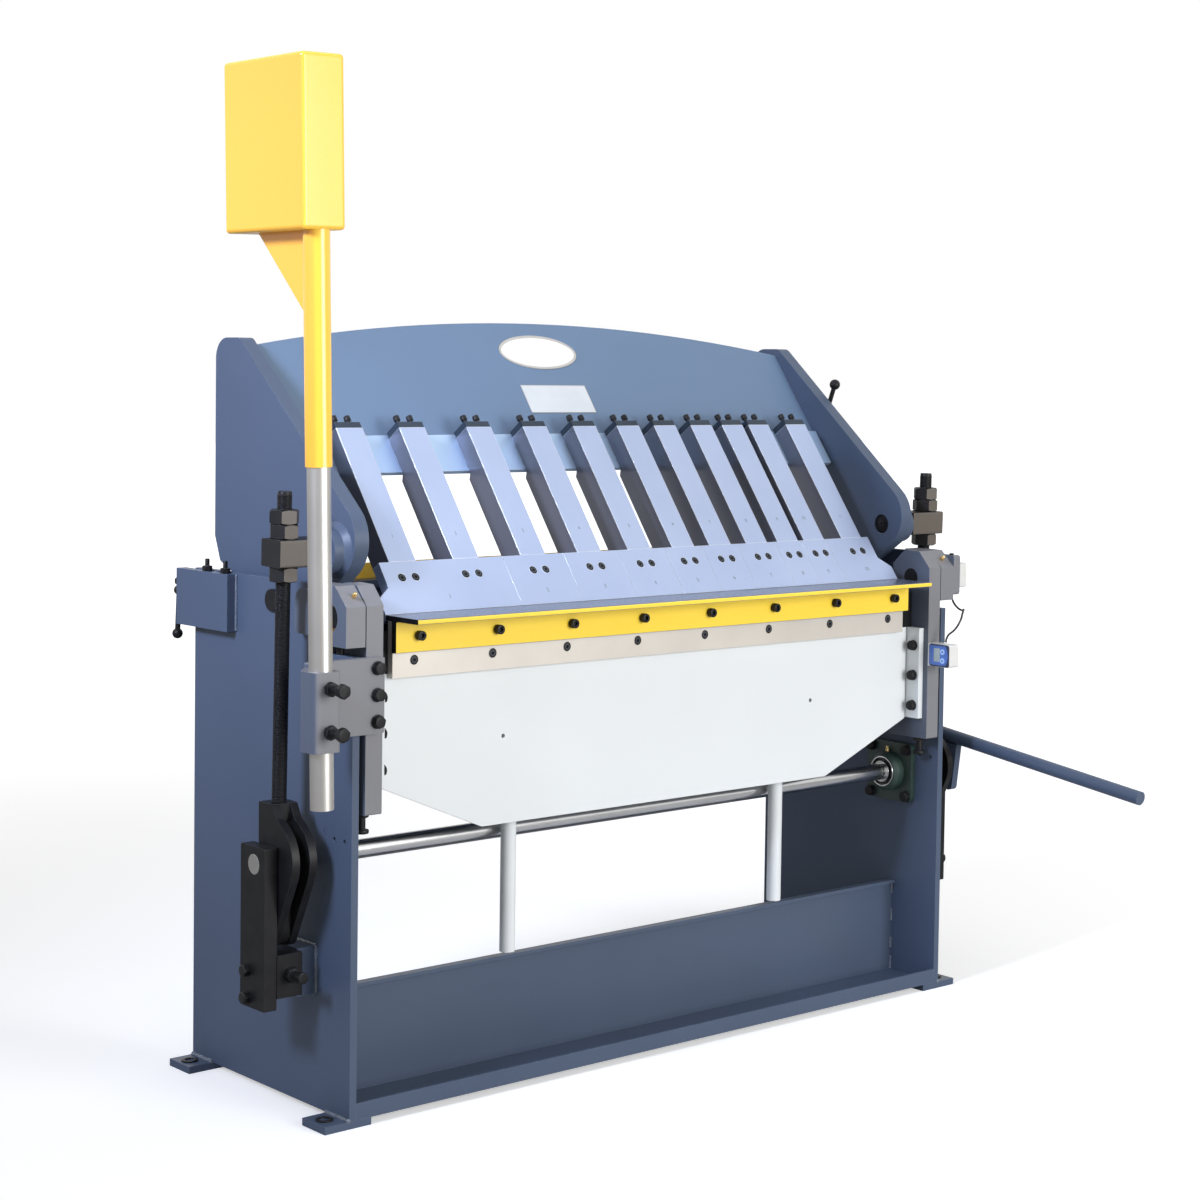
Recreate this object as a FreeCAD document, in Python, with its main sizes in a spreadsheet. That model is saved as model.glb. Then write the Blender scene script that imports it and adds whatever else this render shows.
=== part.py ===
import FreeCAD, Part
import math
import os

# Box-and-pan brake with a hand-lifted folding leaf, millimetres.
# X runs along the bend line, Y runs from the front to the back, Z runs up from the floor.
# Every piece is drawn with Y measured from the front faces of the side plates. The finished
# pieces are then set forward by half the depth, so that the origin is the centre of the foot holes.

Vector = FreeCAD.Vector

SIZES = {
    # side plates, feet and base
    "plate_past_bed": 86.3,
    "plate_thickness": 14.2,
    "plate_depth": 515.0,
    "plate_top": 932.0,
    "foot_thickness": 13.3,
    "foot_outboard": 50.0,
    "foot_inboard": 32.0,
    "foot_width": 70.0,
    "foot_hole_radius": 9.0,
    "foot_hole_inset": 28.0,
    "base_lip_height": 29.0,
    "base_sheet": 7.0,
    "base_web_front": 125.0,
    "base_flange_top": 215.0,
    "base_flange_width": 18.0,
    # leaf hinge
    "hinge_y": 47.0,
    "hinge_drop": 52.0,
    "hinge_pin_radius": 19.0,
    "hinge_clearance": 0.05,
    "hinge_bush_wall": 5.0,
    "hinge_block_past_bed": 79.0,
    "hinge_block_width": 40.0,
    "hinge_block_height": 104.0,
    "hinge_block_rise": 4.0,
    "hinge_block_front": -5.0,
    "hinge_block_back": 98.0,
    "hinge_block_chamfer": 34.0,
    "hinge_lug_back": 152.0,
    "hinge_recess": 10.0,
    "outboard_block": 20.0,
    "ledge_gap": 17.0,
    # bed
    "bed_length": 1320.0,
    "bed_drop": 54.0,
    "bed_jaw_height": 20.0,
    "bed_jaw_depth": 110.0,
    "bed_web_front": 108.0,
    "bed_web": 20.0,
    "bed_web_height": 298.0,
    "bed_shelf": 90.0,
    "bed_flange": 15.0,
    "bed_rib_pitch": 440.0,
    "bed_shoulder_drop": 97.0,
    "bed_shelf_past_bed": 16.0,
    # leaf
    "leaf_gap": 0.5,
    "angle_reach": 95.7,
    "angle_flange": 9.0,
    "angle_drop": 64.6,
    "angle_web": 13.0,
    "angle_web_front": 15.4,
    "edge_bar_short": 2.0,
    "edge_bar_thickness": 14.3,
    "edge_bar_drop": 110.0,
    "backing_thickness": 25.0,
    "backing_drop": 103.0,
    "apron_past_bed": 25.8,
    "apron_thickness": 8.0,
    "apron_height": 293.1,
    "apron_corner_height": 100.1,
    "apron_corner_length": 240.0,
    "apron_hole_x": 399.0,
    "apron_hole_rise": 160.9,
    "apron_hole_radius": 4.0,
    "arm_past_bed": 42.0,
    "arm_thickness": 35.0,
    "arm_length": 395.0,
    "arm_lug_thickness": 14.0,
    "arm_lug_front": 8.0,
    "lift_rod_x": 348.0,
    "lift_rod_y": 88.0,
    "lift_rod_radius": 14.5,
    "lift_rod_length": 429.0,
    "lift_rod_grip": 178.1,
    "screw_margin": 48.55,
    "knob_drop": 35.4,
    "knob_radius": 8.7,
    "knob_head": 12.0,
    "edge_screw_rise": 30.3,
    # balance pole
    "pole_past_bed": 215.0,
    "pole_y": -68.0,
    "pole_lean": 1.2,
    "pole_radius": 20.0,
    "pole_above_hinge": 44.0,
    "pole_reach_down": 347.0,
    "sleeve_radius": 22.5,
    "sleeve_start": 221.0,
    "weight_width": 84.0,
    "weight_depth": 238.0,
    "weight_height": 286.0,
    "weight_start": 608.0,
    "weight_front": -25.0,
    "socket_left_past_bed": 240.0,
    "socket_right_past_bed": 188.0,
    "socket_front": -93.0,
    "socket_neck": 34.0,
    "socket_drop": 206.0,
    "socket_height": 134.0,
    "bracket_past_bed": 204.0,
    "bracket_sheet": 15.0,
    "bracket_drop": 65.0,
    "bracket_height": 131.0,
    "clamp_screw_length": 44.0,
    # clamp beam
    "pivot_y": 250.0,
    "pivot_drop": 39.0,
    "pivot_pin_radius": 20.0,
    "cheek_past_bed": 26.0,
    "cheek_thickness": 30.0,
    "trunnion_y": 120.0,
    "trunnion_rise": 57.0,
    "nose_y": 133.0,
    "nose_above_trunnion": 17.0,
    "nose_radius": 71.0,
    "cheek_heel_back": 245.0,
    "cheek_heel_up": 57.0,
    "cheek_back": 262.0,
    "cheek_back_up": 99.0,
    "cheek_crown_back": 232.0,
    "cheek_crown_up": 430.0,
    "cheek_crown_radius": 38.0,
    "cheek_brow_back": 197.0,
    "cheek_brow_up": 448.0,
    "cheek_brow_radius": 20.0,
    "cheek_corner_radius": 8.0,
    "cheek_foot_radius": 50.0,
    "boss_radius": 40.0,
    "boss_weld_radius": 50.0,
    "boss_weld_length": 9.0,
    "boss_length": 29.0,
    "pin_recess_radius": 20.5,
    "pin_recess_depth": 8.0,
    "trunnion_pin_radius": 23.0,
    "nose_lift": 0.5,
    "finger_lean": 36.0,
    "arch_bottom": 342.0,
    "arch_side": 615.0,
    "arch_crown": 684.0,
    "arch_thickness": 20.0,
    "rail_depth": 40.0,
    "rail_thickness": 10.0,
    "rail_bottom": 321.0,
    "rail_top": 404.0,
    # fingers
    "finger_bar_width": 59.0,
    "finger_bar_depth": 50.0,
    "finger_bar_top": 394.8,
    "finger_tongue": 40.0,
    "shoe_height": 105.6,
    "shoe_thickness": 22.0,
    "shoe_gap": 0.6,
    "horn_top": 54.0,
    "horn_bottom": 30.0,
    "horn_step": 28.0,
    "finger_screw_height": 72.5,
    "finger_screw_pitch": 30.0,
    "finger_screw_radius": 6.0,
    "cap_height": 13.7,
    "cap_bolt_radius": 6.5,
    "cap_bolt_depth": 18.0,
    # clamp shaft and links
    "shaft_y": 126.0,
    "shaft_z": 454.0,
    "shaft_radius": 17.5,
    "shaft_clearance": 0.05,
    "shaft_left_past_bed": 216.5,
    "shaft_right_past_bed": 234.6,
    "crank_radius": 120.0,
    "crank_rest_angle": 3.6,
    "crank_thickness": 18.0,
    "crank_pin_radius": 15.0,
    "link_past_bed": 164.0,
    "link_plate": 15.0,
    "link_gap": 20.0,
    "link_rod_radius": 13.5,
    "link_rod_above": 106.0,
    "fork_top": 102.0,
    "fork_bulge": 99.5,
    "fork_bulge_radius": 72.5,
    "fork_throat": 31.0,
    "trunnion_block_past_bed": 95.3,
    "trunnion_block_width": 94.7,
    "trunnion_block_half_depth": 30.0,
    "trunnion_block_height": 48.0,
    "nut_flat": 47.0,
    "outrigger_past_bed": 191.5,
    "outrigger_thickness": 25.0,
    "outrigger_front": 90.0,
    "outrigger_depth": 77.0,
    "outrigger_bottom": 203.0,
    "outrigger_top": 485.0,
    "support_front": 88.0,
    "support_depth": 76.0,
    "support_bottom": 223.0,
    "support_top": 298.0,
    "stop_rise": 39.5,
    "bracket_inboard": 40.0,
    # shaft bearings
    "bearing_square": 126.0,
    "bearing_pitch": 100.0,
    "bearing_plate": 13.0,
    "bearing_depth": 36.0,
    "bearing_ring_radius": 35.0,
    "bearing_seat_radius": 30.0,
    "bearing_inner_radius": 22.5,
    # handle
    "handle_radius": 14.2,
    "handle_length": 571.0,
    "handle_slope": 7.3,
    "handle_offset": 71.0,
    "handle_plate_thickness": 17.0,
    "handle_plate_front": 58.0,
    "handle_plate_back": 30.0,
    "handle_plate_drop": 46.0,
    # back of the machine
    "rear_member_depth": 70.0,
    "rear_member_height": 110.0,
    "rear_member_drop": 35.0,
    "rear_member_sheet": 14.0,
    "rear_inset": 5.0,
    "gauge_bar_height": 30.0,
    "gauge_bar_thickness": 12.0,
    "lock_block_width": 20.0,
    "lock_block_height": 105.0,
    "lock_block_front": 143.0,
    "lock_block_back": 35.0,
    "lock_lever_drop": 45.0,
    # angle display
    "display_width": 59.0,
    "display_height": 48.0,
    "display_depth": 29.0,
    "display_drop": 183.0,
    "button_radius": 4.5,
    "sensor_length": 46.0,
    "cable_radius": 2.2,
}

doc = FreeCAD.newDocument("PanBrake")
sheet = doc.addObject("Spreadsheet::Sheet", "Sizes")
for row, (alias, size) in enumerate(SIZES.items(), start=1):
    sheet.set("A%d" % row, alias.replace("_", " "))
    sheet.set("B%d" % row, str(size))
    sheet.setAlias("B%d" % row, alias)
doc.recompute()


def value(alias):
    """The size that the sheet holds under this alias."""
    return float(getattr(sheet, alias))


NODES = {}


def keep(name, piece, placement=None):
    """Name a finished sub-part, and set it in the machine's frame."""
    piece.Label = name
    shift = FreeCAD.Placement(Vector(0, -value("plate_depth") / 2, 0), FreeCAD.Rotation())
    if placement:
        shift = shift.multiply(placement)
    piece.Placement = shift.multiply(piece.Placement)
    NODES[name] = piece
    return piece


def bind(piece, prop, size):
    """Set a property to a number, or bind it to a formula on the sheet's names."""
    if isinstance(size, str):
        piece.setExpression(prop, size)
    else:
        setattr(piece, prop, size)


def box(size, corner):
    """A block from its sizes along X, Y and Z and its lowest corner."""
    piece = doc.addObject("Part::Box", "Block")
    for prop, length in zip(("Length", "Width", "Height"), size):
        bind(piece, prop, length)
    piece.Placement.Base = Vector(*corner)
    return piece


def span(low, high):
    """A block between two opposite corners."""
    return box([high[i] - low[i] for i in range(3)], low)


TURNS = {
    "X": FreeCAD.Rotation(Vector(0, 1, 0), 90),
    "-X": FreeCAD.Rotation(Vector(0, 1, 0), -90),
    "Y": FreeCAD.Rotation(Vector(1, 0, 0), -90),
    "-Y": FreeCAD.Rotation(Vector(1, 0, 0), 90),
    "Z": FreeCAD.Rotation(),
    "-Z": FreeCAD.Rotation(Vector(1, 0, 0), 180),
    "-YZ": FreeCAD.Rotation(Vector(1, 0, 0), 45),
}


def rod(base, axis, radius, length):
    """A cylinder from the centre of its first face, along a named axis."""
    piece = doc.addObject("Part::Cylinder", "Rod")
    bind(piece, "Radius", radius)
    bind(piece, "Height", length)
    piece.Placement = FreeCAD.Placement(Vector(*base), TURNS[axis])
    return piece


def hexagon(base, axis, flat, length, turn=0.0):
    """A hexagonal prism of a width across flats."""
    piece = doc.addObject("Part::Prism", "Hexagon")
    piece.Polygon = 6
    piece.Circumradius = flat / math.sqrt(3)
    piece.Height = length
    spin = FreeCAD.Rotation(Vector(0, 0, 1), turn)
    piece.Placement = FreeCAD.Placement(Vector(*base), TURNS[axis].multiply(spin))
    return piece


def cone(base, axis, radius_low, radius_high, length):
    piece = doc.addObject("Part::Cone", "Cone")
    piece.Radius1 = radius_low
    piece.Radius2 = radius_high
    piece.Height = length
    piece.Placement = FreeCAD.Placement(Vector(*base), TURNS[axis])
    return piece


def ball(centre, radius):
    piece = doc.addObject("Part::Sphere", "Ball")
    piece.Radius = radius
    piece.Placement.Base = Vector(*centre)
    return piece


def fuse(*pieces):
    """One solid from pieces that are welded, cast or turned as one."""
    piece = doc.addObject("Part::MultiFuse", "Fusion")
    piece.Shapes = list(pieces)
    piece.Refine = True
    return piece


def cut(base, *tools):
    piece = doc.addObject("Part::Cut", "Cut")
    piece.Base = base
    piece.Tool = tools[0] if len(tools) == 1 else group(*tools)
    return piece


def group(*pieces):
    """Separate solids of one kind, such as a set of bolts."""
    piece = doc.addObject("Part::Compound", "Set")
    piece.Links = list(pieces)
    return piece


def rounded(points):
    """Lines and corner arcs of a closed outline, from (u, v, corner radius) points in order."""
    ends = []
    for i, (u, v, radius) in enumerate(points):
        corner = Vector(u, v, 0)
        before = Vector(*points[i - 1][:2], 0)
        after = Vector(*points[(i + 1) % len(points)][:2], 0)
        if not radius:
            ends.append((corner, None, corner))
            continue
        back = (before - corner).normalize()
        ahead = (after - corner).normalize()
        half = back.getAngle(ahead) / 2
        run = radius / math.tan(half)
        middle = corner + (back + ahead).normalize() * (radius / math.sin(half) - radius)
        ends.append((corner + back * run, middle, corner + ahead * run))
    edges = []
    for i, (start, middle, finish) in enumerate(ends):
        if middle:
            edges.append(Part.Arc(start, middle, finish))
        following = ends[(i + 1) % len(ends)][0]
        if finish.distanceToPoint(following) > 1e-6:
            edges.append(Part.LineSegment(finish, following))
    return edges


def belt(circles):
    """The tight outline round (u, v, radius) circles, listed anticlockwise."""
    leave = []
    arrive = []
    for i, (u, v, radius) in enumerate(circles):
        next_u, next_v, next_radius = circles[(i + 1) % len(circles)]
        ahead = Vector(next_u - u, next_v - v, 0)
        share = (radius - next_radius) / ahead.Length
        ahead.normalize()
        outward = ahead * share + Vector(ahead.y, -ahead.x, 0) * math.sqrt(1 - share * share)
        leave.append((Vector(u, v, 0) + outward * radius, outward))
        arrive.append((Vector(next_u, next_v, 0) + outward * next_radius, outward))
    edges = []
    for i, (u, v, radius) in enumerate(circles):
        start, normal_in = arrive[i - 1]
        finish, normal_out = leave[i]
        if radius:
            first = math.atan2(normal_in.y, normal_in.x)
            sweep = (math.atan2(normal_out.y, normal_out.x) - first) % (2 * math.pi)
            middle = first + sweep / 2
            top = Vector(u, v, 0) + Vector(math.cos(middle), math.sin(middle), 0) * radius
            edges.append(Part.Arc(start, top, finish))
        edges.append(Part.LineSegment(finish, arrive[i][0]))
    return edges


def pad(plane, edges, thickness, start, holes=()):
    """A padded sketch. It starts at a distance along the plane's axis and rises along it."""
    body = doc.addObject("PartDesign::Body", "Profile")
    sketch = body.newObject("Sketcher::SketchObject", "Outline")
    role = {"X": "YZ_Plane", "Y": "XZ_Plane", "Z": "XY_Plane"}[plane]
    base = [item for item in body.Origin.OriginFeatures if item.Role == role][0]
    sketch.AttachmentSupport = [(base, "")]
    sketch.MapMode = "FlatFace"
    height = -start if plane == "Y" else start
    sketch.AttachmentOffset = FreeCAD.Placement(Vector(0, 0, height), FreeCAD.Rotation())
    for edge in edges:
        sketch.addGeometry(edge, False)
    for u, v, radius in holes:
        sketch.addGeometry(Part.Circle(Vector(u, v, 0), Vector(0, 0, 1), radius), False)
    solid = body.newObject("PartDesign::Pad", "Thickness")
    solid.Profile = sketch
    solid.Reversed = plane == "Y"
    bind(solid, "Length", thickness)
    return body


def both_sides(make):
    """The same piece on the right (+1) and on the left (-1)."""
    return [make(side) for side in (1, -1)]


def side_start(side, near, thickness):
    """Where a pad along X starts, from its inner face's distance and its thickness."""
    return near if side > 0 else -near - thickness


# Sizes that several pieces share
depth = value("plate_depth")
half_bed = value("bed_length") / 2
inside = half_bed + value("plate_past_bed")
sheet_x = value("plate_thickness")
outside = inside + sheet_x
foot = value("foot_thickness")
plate_top = value("plate_top")
hinge_y = value("hinge_y")
hinge_z = plate_top - value("hinge_drop")
pin_r = value("hinge_pin_radius")
bush_r = pin_r + value("hinge_clearance") + value("hinge_bush_wall")
block_in = half_bed + value("hinge_block_past_bed")
block_w = value("hinge_block_width")
block_out = block_in + block_w
block_y0 = value("hinge_block_front")
block_y1 = value("hinge_block_back")
block_z1 = plate_top + value("hinge_block_rise")
block_z0 = block_z1 - value("hinge_block_height")
chamfer = value("hinge_block_chamfer")
ledge_z = block_z0 - value("ledge_gap")
pivot_y = value("pivot_y")
pivot_z = plate_top - value("pivot_drop")
pivot_r = value("pivot_pin_radius")
shaft_y = value("shaft_y")
shaft_z = value("shaft_z")
shaft_r = value("shaft_radius")
bearing_half = value("bearing_pitch") / 2
cheek_in = half_bed + value("cheek_past_bed")
cheek_t = value("cheek_thickness")
arm_in = half_bed + value("arm_past_bed")
arm_t = value("arm_thickness")
arm_bottom = block_z1 - value("arm_length")
trunnion_y = value("trunnion_y")
trunnion_z = plate_top + value("trunnion_rise")
link_x = half_bed + value("link_past_bed")
trunnion_in = half_bed + value("trunnion_block_past_bed")
out_in = half_bed + value("outrigger_past_bed")
running = value("shaft_clearance")
bolt_flat = 24.0
bolt_head = 13.0
bolt_shank = 8.0


# Side plates
def side_plate(side):
    outline = rounded([
        (0, foot, 0), (depth, foot, 0), (depth, plate_top, 0), (block_y1, plate_top, 0),
        (block_y1, ledge_z, 6), (0, ledge_z, 0),
    ])
    bolt_holes = [
        (shaft_y + a * bearing_half, shaft_z + b * bearing_half, bolt_shank)
        for a in (-1, 1) for b in (-1, 1)
    ]
    small_holes = [(shaft_y - reach, shaft_z + 41, 4) for reach in (74, 105)]
    round_holes = [(shaft_y, shaft_z, shaft_r + 3), (pivot_y, pivot_z, pivot_r)]
    return pad("X", outline, "Sizes.plate_thickness", side_start(side, inside, sheet_x),
               round_holes + bolt_holes + small_holes)


keep("right_side_plate", side_plate(1))
keep("left_side_plate", side_plate(-1))


# Brackets welded to the plates, which carry the outer ends of the clamp shaft
def shaft_bracket(side):
    low, high = sorted((side * outside, side * (outside + value("bracket_inboard"))))
    front = value("support_front") + 17
    return span((low, front, value("support_bottom") - 8),
                (high, front + 70, value("support_top") + 2))


keep("shaft_brackets", group(*both_sides(shaft_bracket)))


# Feet, welded under the plates, with a hole for an anchor bolt
def foot_pad(side, y_low):
    low = inside - value("foot_inboard")
    length = sheet_x + value("foot_inboard") + value("foot_outboard")
    x_low = low if side > 0 else -low - length
    pad_block = box((length, "Sizes.foot_width", "Sizes.foot_thickness"), (x_low, y_low, 0))
    hole_x = side * (outside + value("foot_hole_inset"))
    hole = rod((hole_x, y_low + value("foot_width") / 2, -1), "Z", "Sizes.foot_hole_radius", 30)
    return cut(pad_block, hole)


keep("foot_pads", group(*[
    foot_pad(side, y_low)
    for side in (1, -1) for y_low in (0, depth - value("foot_width"))
]))

# Folded base channel between the plates
t = value("base_sheet")
web = value("base_web_front")
lip = foot + value("base_lip_height")
top = value("base_flange_top")
flange_front = web - 10
flange_back = flange_front + value("base_flange_width")
keep("base_channel", pad("X", rounded([
    (0, foot, 0), (web + t, foot, t), (web + t, top - t, 0), (flange_back, top - t, 0),
    (flange_back, top, 0), (flange_front, top, 0), (flange_front, top - t, 0), (web, top - t, 0),
    (web, foot + t, 0), (t, foot + t, 0), (t, lip, 0), (0, lip, 0),
]), 2 * inside, -inside))

# Bed: a welded beam with the hardened jaw on its top
bed_top = plate_top - value("bed_drop")
jaw_z = bed_top - value("bed_jaw_height")
half_shelf = half_bed + value("bed_shelf_past_bed")
web_y = value("bed_web_front")
web_t = value("bed_web")
web_z = jaw_z - value("bed_web_height")
shoulder = plate_top - value("bed_shoulder_drop")
bed_back = web_y + value("bed_shelf")
bed_sheet = value("bed_flange")
jaw_front = hinge_y + value("leaf_gap")
jaw_back = jaw_front + value("bed_jaw_depth")
bed_web = pad("Y", rounded([
    (-inside, web_z, 0), (inside, web_z, 0), (inside, shoulder, 0), (half_shelf, shoulder, 0),
    (half_shelf, jaw_z, 0), (-half_shelf, jaw_z, 0), (-half_shelf, shoulder, 0),
    (-inside, shoulder, 0),
]), "Sizes.bed_web", web_y)
bottom_flange = span((-inside, web_y + web_t, web_z), (inside, bed_back, web_z + bed_sheet))
top_shelf = span((-half_shelf, web_y + web_t, jaw_z - bed_sheet), (half_shelf, bed_back, jaw_z))
ribs = [
    span((rib * value("bed_rib_pitch") - 5, web_y + web_t, web_z + bed_sheet),
         (rib * value("bed_rib_pitch") + 5, bed_back - 5, jaw_z - bed_sheet))
    for rib in (-1, 0, 1)
]
keep("bed_beam", fuse(bed_web, bottom_flange, top_shelf, *ribs))
keep("bed_jaw", pad("X", rounded([
    (jaw_front, bed_top, 0), (jaw_front, bed_top - 9, 0), (web_y - 35, jaw_z, 0),
    (jaw_back, jaw_z, 0), (jaw_back, bed_top, 0),
]), "Sizes.bed_length", -half_bed))

# Back of the machine: an angle between the plates and the stop bar of the back gauge
rear_t = value("rear_member_sheet")
rear_back = depth - value("rear_inset")
rear_y = rear_back - value("rear_member_depth")
rear_z = plate_top - value("rear_member_drop")
rear_low = rear_z - value("rear_member_height")
rear_half = cheek_in - 6
rear_shoulder = rear_z - 42
rear_web = pad("Y", rounded([
    (-inside, rear_low, 0), (inside, rear_low, 0), (inside, rear_shoulder, 0),
    (rear_half, rear_shoulder, 8), (rear_half, rear_z, 0), (-rear_half, rear_z, 0),
    (-rear_half, rear_shoulder, 8), (-inside, rear_shoulder, 0),
]), rear_t, rear_back - rear_t)
rear_flange = span((-rear_half, rear_y, rear_z - rear_t), (rear_half, rear_back - rear_t, rear_z))
keep("rear_cross_member", fuse(rear_web, rear_flange))
gauge_half = rear_half - 10
keep("back_gauge_bar", box((2 * gauge_half, "Sizes.gauge_bar_thickness", "Sizes.gauge_bar_height"),
                           (-gauge_half, rear_y + 40, rear_z)))


# Hinge blocks with a rear lug that is welded to the outside of the plate
def axis_out(side):
    """The name of the direction that points away from the middle of the machine."""
    return "X" if side > 0 else "-X"


def axis_in(side):
    return axis_out(-side)


def hinge_block(side):
    outline = rounded([
        (block_y0, block_z0, 0), (block_y1, block_z0, 0), (block_y1, block_z1, 0),
        (block_y0 + chamfer + 1, block_z1, 3), (block_y0, block_z1 - chamfer, 3),
    ])
    main = pad("X", outline, "Sizes.hinge_block_width", side_start(side, block_in, block_w))
    lug_back = value("hinge_lug_back")
    lug_z0 = block_z0 + 13
    lug_z1 = block_z1 - 11
    lug = pad("X", rounded([
        (block_y1 - 1, lug_z0, 0), (lug_back, lug_z0, 12), (lug_back, lug_z1, 24),
        (block_y1 - 1, lug_z1, 0),
    ]), block_out - outside, side_start(side, outside, block_out - outside))
    pieces = [main, lug]
    if side > 0:
        pieces.append(pad("X", rounded([
            (block_y0, hinge_z - 38, 6), (hinge_y + 26, hinge_z - 38, 6),
            (hinge_y + 26, hinge_z + 46, 6), (block_y0, hinge_z + 46, 6),
        ]), "Sizes.outboard_block", block_out))
    bore = rod((side * (block_in - 1), hinge_y, hinge_z), axis_out(side), bush_r, block_w + 1)
    recess_start = side * (block_out - value("hinge_recess"))
    mouth = rod((recess_start, hinge_y, hinge_z), axis_out(side), bush_r + 2, block_w)
    return cut(fuse(*pieces), bore, mouth)


keep("hinge_blocks", group(*both_sides(hinge_block)))


def hinge_bush(side):
    start = (side * block_in, hinge_y, hinge_z)
    length = block_w - value("hinge_recess")
    bore_start = (side * (block_in - 1), hinge_y, hinge_z)
    bore = rod(bore_start, axis_out(side), pin_r + running, length + 2)
    return cut(rod(start, axis_out(side), bush_r, length), bore)


keep("hinge_bushes", group(*both_sides(hinge_bush)))


# Pins on which the clamp beam swings
def pivot_pin(side):
    start = cheek_in - 2
    return rod((side * start, pivot_y, pivot_z), axis_out(side), pivot_r, outside + 5 - start)


keep("beam_pivot_pins", group(*both_sides(pivot_pin)))


# Flanged shaft bearings on the inner faces of the plates
def bearing_housing(side):
    ring_r = bearing_half - 8
    collar = value("bearing_depth") - 8
    corner = value("bearing_square") / 2 - bearing_half
    flange = pad("X", belt([
        (shaft_y - bearing_half, shaft_z - bearing_half, corner),
        (shaft_y + bearing_half, shaft_z - bearing_half, corner),
        (shaft_y + bearing_half, shaft_z + bearing_half, corner),
        (shaft_y - bearing_half, shaft_z + bearing_half, corner),
    ]), "Sizes.bearing_plate", side_start(-side, -inside, value("bearing_plate")), [
        (shaft_y + a * bearing_half, shaft_z + b * bearing_half, bolt_shank)
        for a in (-1, 1) for b in (-1, 1)
    ])
    ring = rod((side * inside, shaft_y, shaft_z), axis_in(side), ring_r, collar)
    nose = cone((side * (inside - collar), shaft_y, shaft_z), axis_in(side), ring_r,
                value("bearing_ring_radius"), 8)
    bore = rod((side * (inside + 1), shaft_y, shaft_z), axis_in(side),
               value("bearing_seat_radius"), 2 * collar)
    return cut(fuse(flange, ring, nose), bore)


keep("bearing_housings", group(*both_sides(bearing_housing)))


def bearing_insert(side):
    start = (side * (inside - 2), shaft_y, shaft_z)
    width = value("bearing_depth")
    seat = rod(start, axis_in(side), value("bearing_seat_radius"), width - 8)
    inner = rod(start, axis_in(side), value("bearing_inner_radius"), width + 2)
    hole = rod((side * inside, shaft_y, shaft_z), axis_in(side), shaft_r + running, 2 * width)
    return cut(fuse(seat, inner), hole)


keep("bearing_inserts", group(*both_sides(bearing_insert)))


# Outriggers that carry the ends of the clamp shaft
support_y0 = value("support_front")
support_d = value("support_depth")
support_z0 = value("support_bottom")
support_z1 = value("support_top")
stop_z = support_z0 + value("stop_rise")
bar_t = value("outrigger_thickness")
bar_out = out_in + bar_t


def support_block(side):
    near = outside + value("bracket_inboard")
    low, high = sorted((side * near, side * out_in))
    block = span((low, support_y0, support_z0), (high, support_y0 + support_d, support_z1))
    return cut(block, rod((side * link_x, support_y0 - 1, stop_z), "Y", bolt_shank, support_d + 2))


keep("support_blocks", group(*both_sides(support_block)))


def outboard_bar(side):
    front = value("outrigger_front")
    back = front + value("outrigger_depth")
    low = value("outrigger_bottom")
    high = value("outrigger_top")
    outline = rounded([(front, low, 2), (back, low, 2), (back, high, 2), (front, high, 2)])
    return pad("X", outline, "Sizes.outrigger_thickness", side_start(side, out_in, bar_t),
               [(shaft_y, shaft_z, shaft_r + running)])


keep("outboard_bars", group(*both_sides(outboard_bar)))


# Bolts of the frame
def hex_bolt(base, axis, length, flat=bolt_flat, head=bolt_head):
    """A hex head at the base with its shank behind it."""
    back = axis[1:] if axis[0] == "-" else "-" + axis
    return fuse(hexagon(base, axis, flat, head), rod(base, back, flat / 3, length))


def frame_bolts(side):
    face = side * (inside - value("bearing_plate"))
    pieces = [
        hex_bolt((face, shaft_y + a * bearing_half, shaft_z + b * bearing_half), axis_in(side),
                 value("bearing_plate") + sheet_x)
        for a in (-1, 1) for b in (-1, 1)
    ]
    pieces += [hexagon((side * bar_out, shaft_y + 18, z), axis_out(side), 19, 12)
               for z in (support_z0 - 4, support_z0 + 44)]
    pieces.append(fuse(
        hexagon((side * link_x, support_y0 - 40, stop_z), "Y", 19, bolt_head),
        rod((side * link_x, support_y0 - 36, stop_z), "Y", bolt_shank, support_d + 36),
        hexagon((side * link_x, support_y0 - 12, stop_z), "Y", bolt_flat, 12),
    ))
    pieces.append(rod((side * (inside + sheet_x / 2), block_y1 / 2, ledge_z), "Z", 6.5,
                      block_z0 - ledge_z))
    return pieces


# Two adjusting studs stand on the lock block, behind the left plate's top corner
lock_x = -outside - value("lock_block_width") / 2
lock_front = depth - value("lock_block_front")
lock_back = depth + value("lock_block_back")
lock_top = plate_top - 2
stud_r = 4.2
studs_at = (22.6, 85.0)


def lock_stud(y):
    return fuse(hexagon((lock_x, y, lock_top), "Z", 16, 10, 15),
                rod((lock_x, y, lock_top - 20), "Z", stud_r, 43))


lock_studs = [lock_stud(lock_front + ahead) for ahead in studs_at]
keep("frame_bolts", group(*frame_bolts(1), *frame_bolts(-1), *lock_studs))


def grease_nipple(base, axis):
    """A short stem with a ball head."""
    ahead = TURNS[axis].multVec(Vector(0, 0, 9))
    return fuse(rod(base, axis, nipple_r, 6.4), ball((Vector(*base) + ahead)[:], 3.4))


# One nipple on top of each shaft bearing, one on the chamfer of each hinge block
nipple_r = 4.0
bearing_top = shaft_z + bearing_half - 8
chamfer_y = block_y0 + 15
chamfer_z = block_z1 - chamfer + 15
keep("grease_nipples", group(*[
    grease_nipple((side * (inside - 20), shaft_y, bearing_top), "Z") for side in (1, -1)
], *[
    grease_nipple((side * (block_in + 16), chamfer_y, chamfer_z), "-YZ") for side in (1, -1)
]))


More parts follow.
